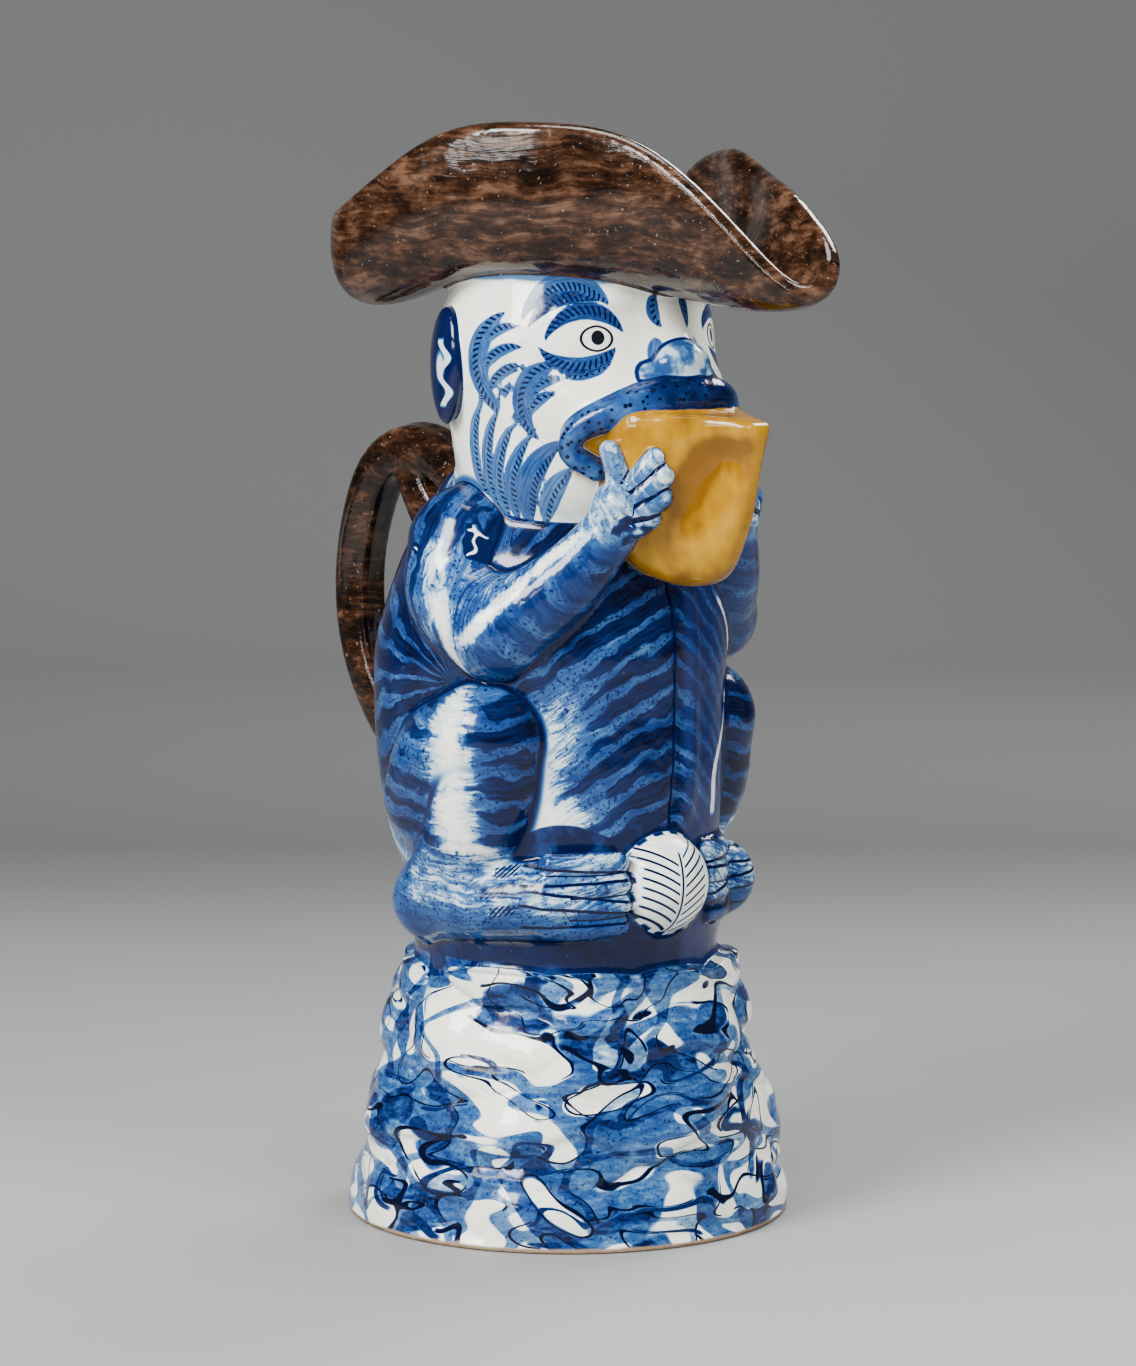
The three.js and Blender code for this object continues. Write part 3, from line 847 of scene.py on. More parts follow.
def brush_fields(points, zone):
    """The coat's brush strokes: place across the strokes, how loaded the brush is, and place along them."""
    x, y, z = points.T
    bend = np.abs(np.degrees(np.arctan2(-x, -y)))
    front = (1 - smooth(bend, 66, 78)) * (zone["trunk"] > 0)
    trunk = [a * front + b * (1 - front)
             for a, b in zip(chest_strokes(x, z, bend, zone["arm_gap"]), back_strokes(z, bend))]
    leg = leg_strokes(z, bend, zone["thighs"] > 0)
    arm = arm_strokes(x, y, z, bend)
    across, load, along = [np.where(zone["arms"] > 0, on_arm, np.where(zone["legs"] > 0, on_leg, on_trunk))
                           for on_arm, on_leg, on_trunk in zip(arm, leg, trunk)]
    return across, np.clip(load, 0, 1.2), along


HEAD_GIRTH = 0.56  # millimetres of skin to a degree round the head
MARK_FULLNESS = 1.18  # how much the brush spreads past the widths below
FACE_MARKS = [
    # three places it runs through as (degrees round the head, height), half width, how blue, and its dabs'
    # place across it and size
    # the temple's crescent and its four fingers
    ((77, 194.5), (86, 204.5), (72, 217.5), 2.7, 0.46, 0.7, 0.9),
    ((85, 207), (77, 212.6), (65, 214), 1.3, 0.44, 0.3, 0.7),
    ((84, 202), (75, 208), (63, 209.2), 1.35, 0.46, 0.3, 0.7),
    ((82, 198), (74, 203), (62.5, 205.4), 1.3, 0.44, 0.3, 0.7),
    ((78, 195), (74, 198.6), (67, 200.4), 1.1, 0.42, 0.3, 0.6),
    # the cheek's crescent and its fingers
    ((60, 188.8), (65, 196.5), (48, 205.2), 2.5, 0.5, 0.6, 0.8),
    ((64, 196), (57, 200.6), (46, 202), 1.3, 0.48, 0.3, 0.7),
    ((63, 192), (57, 197), (48, 199), 1.2, 0.45, 0.3, 0.7),
    # the brow, in three rows
    ((64, 217), (47, 224), (28, 218.5), 2.6, 0.5, -1.0, 1.3),
    ((61, 214.6), (48, 220.6), (32, 219.6), 1.7, 0.66, -0.2, 1.2),
    ((54, 211.8), (39, 217.6), (22, 212), 1.8, 0.62, 0.3, 1.2),
    # under the eye
    ((56, 208.4), (41, 204.9), (25.5, 209.8), 1.9, 0.58, 0.2, 1.2),
    ((48, 202.6), (37, 203.3), (27, 207), 1.1, 0.5, 0, 0.6),
    # between the eyes
    ((7, 214), (9, 218), (6, 222), 1.5, 0.5, 0, 0.6),
    ((13, 205), (11, 209), (9, 212), 1.4, 0.42, 0, 0),
    # the jaw's fan
    ((86, 196), (95, 186), (84, 172), 1.9, 0.4, -0.6, 0.7),
    ((78, 194), (86.5, 184), (79, 170), 1.8, 0.42, -0.6, 0.7),
    ((70, 191.5), (79.5, 182), (74, 168), 1.8, 0.42, -0.6, 0.7),
    ((62.5, 188.5), (72, 180), (69.5, 167), 1.9, 0.46, -0.9, 0.8),
    ((49, 187), (62.5, 179), (64, 166), 2.9, 0.52, -1.7, 0.9),
    ((44, 181), (53, 175), (57, 167), 2.4, 0.4, -0.6, 0.6),
]


def brush_mark(u, v, a, b, c, width):
    """A mark on the arc through three places: each point's depth inside it, place across and place along."""
    (ax, ay), (bx, by), (cx, cy) = a, b, c
    d = 2 * (ax * (by - cy) + bx * (cy - ay) + cx * (ay - by))
    sa, sb, sc = ax * ax + ay * ay, bx * bx + by * by, cx * cx + cy * cy
    ox = (sa * (by - cy) + sb * (cy - ay) + sc * (ay - by)) / d
    oy = (sa * (cx - bx) + sb * (ax - cx) + sc * (bx - ax)) / d
    radius = math.hypot(ax - ox, ay - oy)
    middle = math.atan2(by - oy, bx - ox)
    first, last = [math.remainder(math.atan2(y - oy, x - ox) - middle, 2 * math.pi) for x, y in (a, c)]
    angle = np.arctan2(v - oy, u - ox) - middle
    angle = np.remainder(angle + math.pi, 2 * math.pi) - math.pi
    along = (angle - (first + last) / 2) * radius * np.sign(last - first)
    across = np.hypot(u - ox, v - oy) - radius
    share = along / (abs(last - first) * radius / 2)
    body_width = np.clip(1.05 - share * share * (0.9 + 0.15 * share), -4, 1) * width * MARK_FULLNESS
    return body_width - np.abs(across), across, along


def face_fields(points):
    """The nearest painted mark of the face: depth, across, along, how blue, dab place and dab size."""
    x, y, z = points.T
    u = np.degrees(np.arctan2(np.abs(x), -(y - HEAD_CENTRE))) * HEAD_GIRTH
    best = [np.full(x.shape, -9.0)] + [np.zeros(x.shape) for _ in range(5)]
    for a, b, c, width, blue, dab_place, dab_size in FACE_MARKS:
        a, b, c = [(degrees * HEAD_GIRTH, height) for degrees, height in (a, b, c)]
        depth, across, along = brush_mark(u, z, a, b, c, width)
        wins = depth > best[0]
        for kept, value in zip(best, (depth, across, along, blue, dab_place, dab_size)):
            kept[wins] = value[wins] if isinstance(value, np.ndarray) else value
    return best


def store(mesh, name, columns):
    """Up to three numbers for each point, which the paint reads back by name."""
    values = np.zeros((len(mesh.vertices), 3))
    values[:, :len(columns)] = np.stack(columns, axis=1)
    mesh.attributes.new(name, "FLOAT_VECTOR", "POINT").data.foreach_set("vector", values.ravel())


LEDGER = {  # attribute: what its three numbers are
    "limb_zones": ("arms", "legs", "thighs"),
    "body_zones": ("trunk", "rocks", "nut"),
    "head_zones": ("head", "lips", "nose"),
    "plain_zones": ("fruit", "hat", "handle"),
    "fine_zones": ("ears", "fingers", "toes"),
    "gaps": ("inside", "fruit_gap", "crease"),
    "brush": ("across", "load", "along"),
    "face_marks": ("mark_depth", "mark_across", "mark_along"),
    "face_tones": ("mark_blue", "dab_place", "dab_size"),
}
VALUES = margins(POINTS)
VALUES.update(zip(LEDGER["brush"], brush_fields(POINTS, VALUES)))
VALUES.update(zip(LEDGER["face_marks"] + LEDGER["face_tones"], face_fields(POINTS)))
for ledger_name, words in LEDGER.items():
    store(body.data, ledger_name, [VALUES[word] for word in words])


# ---------------------------------------------------------------- the paint, as values over the surface
class Field:
    """A value that changes over the surface. Arithmetic on it adds Math nodes."""

    def __init__(self, socket):
        self.socket = socket

    def __add__(self, other):
        return maths("ADD", self, other)

    def __sub__(self, other):
        return maths("SUBTRACT", self, other)

    def __rsub__(self, other):
        return maths("SUBTRACT", other, self)

    def __mul__(self, other):
        return maths("MULTIPLY", self, other)

    def __truediv__(self, other):
        return maths("DIVIDE", self, other)

    def __neg__(self):
        return maths("MULTIPLY", self, -1.0)

    def __abs__(self):
        return maths("ABSOLUTE", self)

    __radd__ = __add__
    __rmul__ = __mul__


TREE = None  # the node tree that is being painted


def feed(value, socket):
    """Gives a socket a value of its own or one that changes over the surface."""
    if isinstance(value, Field):
        TREE.links.new(value.socket, socket)
    else:
        socket.default_value = value


def node(kind, settings=None, output=0, **inputs):
    """Any node: its settings first, then its sockets by name, with _ for a space or a number after i."""
    made = TREE.nodes.new("ShaderNode" + kind)
    for key, value in (settings or {}).items():
        setattr(made, key, value)
    for key, value in inputs.items():
        numbered = key[0] == "i" and key[1:].isdigit()
        feed(value, made.inputs[int(key[1:]) if numbered else key.replace("_", " ")])
    return Field(made.outputs[output])


def maths(operation, *values):
    inputs = {f"i{i}": value for i, value in enumerate(values)}
    return node("Math", {"operation": operation}, **inputs)


def most(*values):
    return reduce(partial(maths, "MAXIMUM"), values)


def least(*values):
    return reduce(partial(maths, "MINIMUM"), values)


def fade(value, low, high):
    """0 at low and 1 at high, with an easy slope between; high may be the lower one."""
    return node("MapRange", {"interpolation_type": "SMOOTHSTEP"}, Value=value, From_Min=low, From_Max=high)


def limited(value):
    return least(most(value, 0.0), 1.0)


def line(value, half_width, soft=0.12):
    """1 where the value is within half_width of 0."""
    return fade(abs(value) - half_width, soft, -soft)


def dashes(value, pitch, wide, narrow):
    """Short marks, one to each pitch along the value; wide and narrow are shares of half a pitch."""
    return fade(abs(maths("FRACT", value / pitch) - 0.5), wide, narrow)


def length(*values):
    return maths("SQRT", sum((value * value for value in values[1:]), values[0] * values[0]))


def over(amount, under, tone):
    """One tone of blue laid over another."""
    return under * (1 - amount) + tone * amount


def attribute(name):
    """The three numbers stored under a name."""
    return parts(node("Attribute", {"attribute_name": name}, output=1))


def parts(vector):
    made = TREE.nodes.new("ShaderNodeSeparateXYZ")
    feed(vector, made.inputs[0])
    return [Field(socket) for socket in made.outputs]


def vector(x, y, z):
    return node("CombineXYZ", X=x, Y=y, Z=z)


def stretched(place, x, y, z):
    """The place, measured in lengths of x, y and z millimetres."""
    return node("VectorMath", {"operation": "MULTIPLY"}, i0=place, i1=(1 / x, 1 / y, 1 / z))


def noise(place, size, detail=2.0, rough=0.5, bend=0.0, seed=0.0):
    """Cloudy noise, around 0.5, with clouds of about that size."""
    shifted = node("VectorMath", {"operation": "ADD"}, i0=place, i1=(seed, seed * 1.7, seed * 2.3))
    return node("TexNoise", Vector=shifted, Scale=1 / size, Detail=detail, Roughness=rough, Distortion=bend)


def drift(*places, **settings):
    """Cloudy noise around 0."""
    return noise(*places, **settings) - 0.5


def blend(amount, under, over):
    """The under colour where amount is 0 and the over colour where it is 1."""
    made = TREE.nodes.new("ShaderNodeMix")
    made.data_type = "RGBA"
    for place, value in ((0, amount), (6, under), (7, over)):
        feed(value, made.inputs[place])
    return Field(made.outputs[2])


def ramp(value, *stops):
    """A colour read off stops of (place, red, green, blue)."""
    made = TREE.nodes.new("ShaderNodeValToRGB")
    elements = made.color_ramp.elements
    while len(elements) < len(stops):
        elements.new(0.5)
    for element, (place, *colour) in zip(elements, stops):
        element.position = place
        element.color = (*colour, 1)
    feed(value, made.inputs[0])
    return Field(made.outputs[0])


# ---------------------------------------------------------------- brush marks
STROKE_PITCH = 6.2  # millimetres from one loaded stroke to the next
EYE_TURN = 34 * HEAD_GIRTH
INK_HALF, INK_SOFT = 0.0085, 0.0025


def eye_paint(u, v):
    """The eye, from the place round the head and up it: how white, and how black."""
    x, y = (u - EYE_TURN) / 3.95, (v - 211.4) / 2.85
    lid = length(x, y) + abs(x) * 0.12
    rim = fade(abs(lid - 1.0), 0.13, 0.07)
    pupil = fade(length((u - EYE_TURN + 0.28) / 1.55, (v - 211.6) / 1.75), 1.06, 0.92)
    return fade(lid, 1.02, 0.96), most(rim, pupil)


def leaf(x, z):
    """The leaf drawn on the nut, as thin ink."""
    lx, lz = x + 5.2, z - 81.5
    bow = lx + 0.9 * maths("SINE", (lz + 2) * 0.16) - lz * 0.14
    stem = fade(abs(bow), 0.34, 0.18) * fade(lz, 10.5, 9.5)
    side = abs(bow)
    rise = lz - side * 0.75 + side * side * 0.02
    phase = maths("FRACT", rise / 2.25 + 0.5 + 0.22 * fade(bow, -0.01, 0.01))
    vein = fade(abs(phase - 0.5), 0.17, 0.09) * fade(side, 8.4, 7.6) * fade(abs(rise + 1.5), 10.5, 9.6)
    return most(stem, vein * fade(side, 0.6, 1.1))


def coat(at, strength):
    """Loaded brush strokes that run with the hair, over a thinner wash, ragged and speckled."""
    place = at.place
    wander = drift(place, 9.0, 1.0, seed=3.0) * 3.4 + drift(place, 3.2, 1.0, seed=5.0) * 1.1
    row = (at.across + wander * 1.5) / STROKE_PITCH
    index = maths("FLOOR", row)
    dice = node("TexWhiteNoise", {"noise_dimensions": "1D"}, W=index) - 0.5
    hairs = drift(vector(at.along / 6, (at.across + wander) / 0.75, 0.0), 1.0, 2.0, rough=0.65, seed=6.0)
    ragged = drift(place, 2.8, 3.0, rough=0.6, seed=8.0) * 0.7
    cloud = drift(place, 10.0, 2.0, seed=11.0)
    lop = drift(vector(at.along / 9, index * 3.1, 0.0), 1.0, 1.0, seed=10.0) * 0.5
    fullness = at.load + dice * 0.4 + cloud * 0.5 + ragged * 0.4
    from_middle = abs(row - index - 0.5 + lop * 0.5)
    inside = limited(fullness + lop) * 0.43 - from_middle + ragged * 0.18 + hairs * 0.22
    heavy = fade(inside, -0.09, 0.13) * fade(fullness, 0.1, 0.55)
    thin_load = at.load + hairs * 0.6 + ragged * 0.6 + cloud * 0.4
    wash = fade(thin_load, 0.2, 0.5) * (0.33 + 0.14 * at.load) + fade(thin_load, 0.0, 0.2) * 0.09
    wash = limited(wash * (1.0 + cloud * 1.1 + hairs * 0.9))
    tone = most(wash, heavy * strength * (0.72 + 0.16 * at.load + hairs * 0.5 + cloud * 0.35))
    stipple = fade(noise(place, 0.85, 1.0, seed=2.0), 0.57, 0.67) * fade(abs(tone - 0.38), 0.34, 0.12)
    return limited(tone + stipple * 0.3)


def rock_paint(place):
    """Broad wandering washes of blue with thin ink lines beside and between them."""
    drawn = stretched(place, 1.25, 1.25, 0.66)
    first = drift(drawn, 25.0, 1.0, 0.4, bend=0.8, seed=1.0)
    second = drift(drawn, 20.0, 1.0, 0.4, bend=0.6, seed=7.0)
    third = drift(drawn, 25.0, 1.0, 0.4, bend=1.0, seed=13.0)
    patches = drift(place, 15.0, 1.0, seed=19.0)
    streak = drift(stretched(drawn, 1.6, 1.6, 0.9), 2.2, 3.0, rough=0.6, seed=23.0)
    broad = line(first, patches * 0.22 + 0.068, 0.007) * (0.44 + patches * 0.7 + streak * 0.7)
    narrow = line(second, 0.045 - patches * 0.12, 0.007) * (0.33 - patches * 0.5 + streak * 0.6)
    dark = line(third, 0.010 + patches * 0.09, 0.006) * fade(patches, 0.0, 0.05) * (0.78 + streak * 0.4)
    inks = [line(cloud - aside, INK_HALF, INK_SOFT) * fade(patches, low, high)
            for cloud, aside, low, high in ((third, 0.028, 0.12, 0.08), (first, 0.085, -0.07, -0.04),
                                            (second, 0.03, 0.02, 0.05))]
    total = most(most(broad, narrow) + least(broad, narrow) * 0.8, dark, *inks)
    grain = drift(place, 1.0, 2.0, rough=0.7, seed=17.0) * 0.25
    stipple = fade(noise(place, 0.85, 1.0, seed=29.0), 0.62, 0.7) * fade(total, 0.2, 0.35) * 0.22
    return limited(total + grain * fade(total, 0.1, 0.3) + stipple)


# ---------------------------------------------------------------- the colours
# stops of (how dark the paint is, red, green, blue)
COBALT = [
    (0.0, 0.84, 0.84, 0.75),
    (0.15, 0.33, 0.46, 0.57),
    (0.3, 0.08, 0.185, 0.34),
    (0.45, 0.022, 0.08, 0.22),
    (0.6, 0.007, 0.034, 0.14),
    (0.75, 0.0015, 0.012, 0.07),
    (0.9, 0.0006, 0.004, 0.033),
    (1.0, 0.0004, 0.0012, 0.01),
]
MANGANESE = [
    (0.0, 0.10, 0.05, 0.028),
    (0.3, 0.046, 0.019, 0.009),
    (0.6, 0.017, 0.006, 0.002),
    (1.0, 0.003, 0.001, 0.0005),
]
OCHRE = [
    (0.0, 0.62, 0.38, 0.015),
    (0.4, 0.48, 0.26, 0.004),
    (0.75, 0.31, 0.145, 0.001),
    (1.0, 0.15, 0.06, 0.001),
]
NAVY_PURPLE = (0.012, 0.022, 0.11, 1)
STAIN = (0.70, 0.63, 0.46, 1)
PINHOLE = (0.10, 0.06, 0.03, 1)
EYE_WHITE = (0.80, 0.78, 0.70, 1)
EYE_BLACK = (0.004, 0.005, 0.008, 1)
HAT_FLECK = (0.30, 0.20, 0.15, 1)
BARE_CLAY = (0.26, 0.18, 0.11, 1)
# each toe line's height at its heel end and at its toe end
TOE_LINES = [(88.9, 87.9), (84.6, 85.6), (84.0, 81.4), (80.2, 78.6), (74.8, 75.6)]
TOE_LINE_END, TOE_LINE_SPAN = 57, 27  # degrees round the body
DASH_ROWS = [(87.6, 59, 67), (83.4, 58.5, 70), (78.6, 58.5, 67)]  # height, first and last degrees


def read_skin():
    """The place on the jug, and every number stored on its skin, by name."""
    at = SimpleNamespace()
    at.place = node("VectorMath", {"operation": "SCALE"}, i0=node("TexCoord", output=3), Scale=1 / MM)
    at.x, at.y, at.z = parts(at.place)
    for name, words in LEDGER.items():
        vars(at).update(zip(words, attribute(name)))
    at.turn = maths("ARCTAN2", -at.x, -at.y) * (180 / math.pi)
    at.bend = abs(at.turn)
    at.shake = drift(at.place, 5.0, 2.0, seed=21.0) * 1.6
    at.wobble = drift(at.place, 3.0, 1.0, seed=41.0) * 0.7
    at.is_head = fade(at.head, -0.15, 0.15)
    at.on_arm = fade(at.arms, 0.0, 0.5)
    at.on_foot = fade(at.legs, 0.0, 0.5)
    return at


def coat_paint(at):
    """The hair, thinner on the forearms, the feet and the hands."""
    arm = fade(at.arms, 0.0, 0.4)
    foot = fade(at.legs, 0.0, 0.4) * fade(at.z, 93.0, 88.0)
    blue = coat(at, 1.0 - most(arm * fade(at.y, -9.0, -14.0) * 0.5, foot) * 0.42)
    hands = arm * fade(at.y, -27.0, -36.0) * fade(at.z, 160, 166)
    return blue * (1 - hands * 0.35) + hands * fade(noise(at.place, 4.5, 2.0, seed=35.0), 0.5, 0.62) * 0.16


def face_paint(at):
    """The brush marks of the face with their rows of dabs, its washes, and painted shade in the crease under
    the jaw.
    """
    streak = drift(vector(at.mark_along / 4, at.mark_across / 0.6, 0.0), 1.0, 2.0, rough=0.6, seed=43.0)
    cover = fade(at.mark_depth + at.wobble * 0.35, 0.0, 0.35)
    dabs = dashes(at.mark_along + at.mark_across * 0.55 + at.wobble * 0.27, 1.35, 0.3, 0.17)
    dabs = dabs * line(at.mark_across - at.dab_place, at.dab_size, 0.15) * fade(at.mark_depth, 0.1, 0.4)
    collar = fade(at.z + at.shake * 0.6 + at.x * 0.06, 222.6, 223.6) * 0.36
    # painted shade in the crease where the jaw meets the shoulders
    jaw_crease_shade = fade(at.crease, 3.2, 1.0) * fade(at.z, 196, 186) * 0.5
    cheek_wash = (noise(at.place, 7.0, 2.0, seed=51.0) - 0.42) * 0.3
    cheek_wash = cheek_wash * fade(noise(at.place, 22.0, seed=52.0), 0.5, 0.62)
    return most(cover * (at.mark_blue + streak * 0.5), dabs * 0.93, collar, jaw_crease_shade, cheek_wash)


def blot_shoulder(at, blue):
    """Dark blots with bare loops on the shoulder's front."""
    away = length(abs(at.x) - 31, at.y + 10, at.z - 165)
    blot = noise(at.place, 8.0, 2.0, seed=57.0) + fade(away, 14, 3) * 0.25
    loops = fade(abs(drift(at.place, 4.2, 0.0, seed=58.0)), 0.035, 0.02) * fade(blot, 0.66, 0.72)
    blots = fade(blot, 0.6, 0.66) * (1 - loops) * at.on_arm * fade(at.z, 150, 156) * 0.86
    return most(blue * (1 - loops * at.on_arm * fade(at.z, 152, 156)), blots)


def ink_lines(at):
    """Lines round the limbs, between fingers and toes and along the toes, and rows of dashes on the feet."""
    width = 0.34 + drift(at.place, 4.0, 1.0, seed=61.0) * 0.35
    outline = line(most(at.arms, at.legs), width)
    fingers = line(at.fingers, width * 1.6, 0.14) * fade(at.arms, -0.6, 0.2)
    toes = line(at.toes, width * 0.9 + 0.01, 0.11) * fade(at.legs, -0.6, 0.2)
    toe_lines = []
    for start, end in TOE_LINES:
        level = at.z - start + (at.bend - TOE_LINE_END) * ((end - start) / TOE_LINE_SPAN) - at.wobble * 0.6
        toe_lines.append(fade(abs(level), 0.5 + at.wobble * 0.3, 0.25))
    within = fade(at.bend + at.wobble * 3, 58.5, 56.5) * at.on_foot * fade(at.z, 91, 90)
    along_toes = most(*toe_lines) * within
    rows = []
    for level, first, last in DASH_ROWS:
        height = at.z - level + (at.bend - 62) * 0.16
        row = dashes(at.bend + height * 1.6, 2.1, 0.34, 0.24) * fade(abs(height), 1.5, 1.1)
        rows.append(row * fade(at.bend, first - 0.3, first) * fade(at.bend, last, last - 0.3))
    return most(most(outline, fingers, toes, along_toes) * 0.95, most(*rows) * at.on_foot * 0.9)


def painted_crease_shade(at):
    """Dark blue in the folds as painted shade, a dark line down the chest's seam, and a scalloped band of
    painted shade under the belly, behind the nut.
    """
    # painted shade in the crease between thigh and calf
    calf = fade(abs(at.thighs), 1.6, 0.3) * fade(at.z + at.y * 0.3, 110, 104) * fade(at.legs, 0.2, 1.5)
    # painted shade where arms, legs and body meet, a little darker towards the front
    fold_shade = most(fade(at.crease, 2.6, 0.2), calf) * (0.72 + 0.2 * fade(at.y, 10.0, -10.0))
    fold_shade = fold_shade * (1 - at.is_head) * fade(at.z, 176, 168)
    fold_shade = fold_shade * (1 - fade(at.fruit, -0.4, 0.2)) * (1 - fade(at.hat, -0.4, 0.2))
    scallop = 95.3 + 3 * abs(maths("SINE", (at.turn - 27) * (math.pi / 34))) + at.shake * 0.3
    # painted shade under the belly's scalloped lower edge
    belly_shade = fade(at.z - scallop, 0.3, -0.3) * fade(at.trunk, 0.0, 0.4) * fade(at.bend, 74, 66)
    belly_shade = belly_shade * (0.9 - 0.22 * fade(noise(at.place, 5.0, seed=71.0), 0.45, 0.65))
    middle = 0.8 - at.wobble - (at.z - 130) * (at.z - 130) * 0.0022
    seam = fade(abs(at.x - middle), 1.7, 0.5) * fade(at.trunk, 0, 0.5) * fade(-at.y, 8, 20) * 0.9
    return most(fold_shade, belly_shade, seam)


def bare_strip(at):
    """The thin line left bare down the left of the chest."""
    middle = 16 + 14 * fade(at.z, 106, 128) * fade(at.z, 156, 136)
    strip = fade(abs(at.x - middle), 1.6, 1.0) * fade(at.trunk, 0.0, 0.6)
    return strip * fade(at.z, 96, 99) * fade(at.z, 152, 148) * fade(-at.y, 8, 16)


def ledge_paint(at):
    """The dark band on the ledge between the figure and the rocks."""
    band = line(at.z - 67.8 + at.shake * 1.6, 3.2, 0.5) * (0.8 + 0.4 * noise(at.place, 5.0, 2.0, seed=75.0))
    return band * (1 - fade(at.legs, -0.2, 0.2)) * (1 - fade(at.nut, -0.2, 0.2)) * 0.88


def lip_paint(at):
    dots = node("TexVoronoi", Vector=at.place, Scale=0.55)
    tone = 0.56 + drift(at.place, 4.0, 2.0, seed=81.0) * 0.7 + fade(abs(at.x), 17, 7) * 0.26
    return most(tone, fade(dots, 0.36, 0.26) * 0.97)


def ear_paint(at):
    """A dark ear with a bare zigzag down it."""
    u, v = at.y - 6.0, at.z - 204.5
    zigzag = fade(abs(u + 1.5 + 1.6 * maths("SINE", v * 0.8)), 1.5, 1.0) * fade(abs(v + 1.5), 8.5, 7.5)
    return 0.8 * fade(length(u * math.sqrt(3.4), v), 2.0, 5.0) * (1 - zigzag) + 0.08


def nut_paint(at):
    round_edge = maths("ARCTAN2", at.x + 3, at.z - 83.5) * 2.6
    edge = fade(at.nut, 1.5, 0.4) * dashes(round_edge, 1.0, 0.34, 0.2)
    return most(leaf(at.x, at.z) * 0.98, edge * 0.9, drift(at.place, 6.0, seed=95.0) * 0.3)


def blue_paint(at):
    """How dark the blue is everywhere, from 0 for bare white glaze to 1."""
    blue = over(at.is_head, coat_paint(at), face_paint(at))
    blue = most(blot_shoulder(at, blue), ink_lines(at), painted_crease_shade(at))
    blue = blue * (1 - bare_strip(at) * 0.95)
    blue = most(over(fade(at.rocks, -0.3, 0.3), blue, rock_paint(at.place)), ledge_paint(at))
    blue = over(fade(at.lips, -0.25, 0.15), blue, lip_paint(at))
    nose_tone = 0.12 + 0.42 * fade(noise(at.place, 4.0, 2.0, seed=91.0), 0.40, 0.66)
    blue = over(fade(at.nose, -0.25, 0.15), blue, nose_tone)
    blue = most(blue, line(at.nose + 0.2, 0.4, 0.2) * 0.8)
    blue = over(fade(at.ears, -0.3, 0.2), blue, ear_paint(at))
    blue = over(fade(at.nut, -0.25, 0.15), blue, nut_paint(at))
    blue = blue * fade(at.inside, 0.6, 1.4)
    specks = fade(noise(at.place, 0.9, 1.0, seed=99.0), 0.74, 0.79)
    return limited(most(blue, specks * 0.8 * fade(blue, 0.05, 0.3)))


def glaze_colour(at, blue, pinholes):
    """The white glaze with its blue, its stains and its pinholes."""
    colour = ramp(blue, *COBALT)
    purple = fade(at.x, 2.0, 4.0) * fade(at.trunk, 0.0, 1.0) * fade(-at.y, 5, 15) * 0.5
    colour = blend(purple * fade(blue, 0.2, 0.6), colour, NAVY_PURPLE)
    warm = fade(noise(at.place, 14.0, 3.0, seed=101.0), 0.5, 0.75) * fade(blue, 0.2, 0.0) * 0.35
    colour = blend(warm, colour, STAIN)
    return blend(pinholes, colour, PINHOLE)


def add_eyes(at, colour):
    round_head = maths("ARCTAN2", abs(at.x), -(at.y - HEAD_CENTRE)) * (180 / math.pi * HEAD_GIRTH)
    white, black = eye_paint(round_head, at.z)
    front = fade(-at.y, 12, 16) * at.is_head
    colour = blend(white * front, colour, EYE_WHITE)
    return blend(black * front, colour, EYE_BLACK)


def add_yellow(at, colour):
    """The fruit, darker in its dent as painted shade, and the inside of the mouth."""
    yellow = 0.74 + drift(at.place, 9.0, 3.0, seed=111.0) * 0.8
    yellow = yellow + drift(stretched(at.place, 1, 1, 3), 3.5, 3.0, seed=113.0) * 0.5
    # painted shade: deeper ochre in the fruit's dent
    dent_shade = fade(abs(abs(at.x) - 8.5 + (at.z - 176) * 0.3 + at.shake), 6.0, 1.0)
    yellow = limited(yellow + dent_shade * fade(-at.y, 42, 50) * fade(at.z, 191, 187) * 0.42)
    mouth = fade(at.fruit_gap, 7.5, 5.5) * fade(at.lips, 0.0, -0.5) * fade(at.z, 178, 181)
    mouth = mouth * fade(at.z, 194, 191.5) * fade(-at.y, 24, 27) * at.is_head
    return blend(most(fade(at.fruit, -0.25, 0.15), mouth), colour, ramp(yellow, *OCHRE))


def add_brown(at, colour, is_brown, brushed):
    """The hat, brushed round, and the handle, both blotched and flecked."""
    blotched = drift(stretched(at.place, 1.5, 1.5, 0.8), 7.0, 4.0, rough=0.65, seed=123.0)
    brown = brushed * 1.6 + blotched * 3.0 + 0.5 + fade(at.handle, -0.4, 0.4) * 0.2
    colour = blend(is_brown, colour, ramp(limited(brown), *MANGANESE))
    flecks = fade(noise(at.place, 1.0, 2.0, seed=131.0), 0.68, 0.74) * is_brown * 0.5
    return blend(flecks, colour, HAT_FLECK)


def start_paint(name):
    """A new material to paint, and its shader."""
    global TREE
    material = bpy.data.materials.new(name)
    material.use_nodes = True
    TREE = material.node_tree
    return material, TREE.nodes["Principled BSDF"]


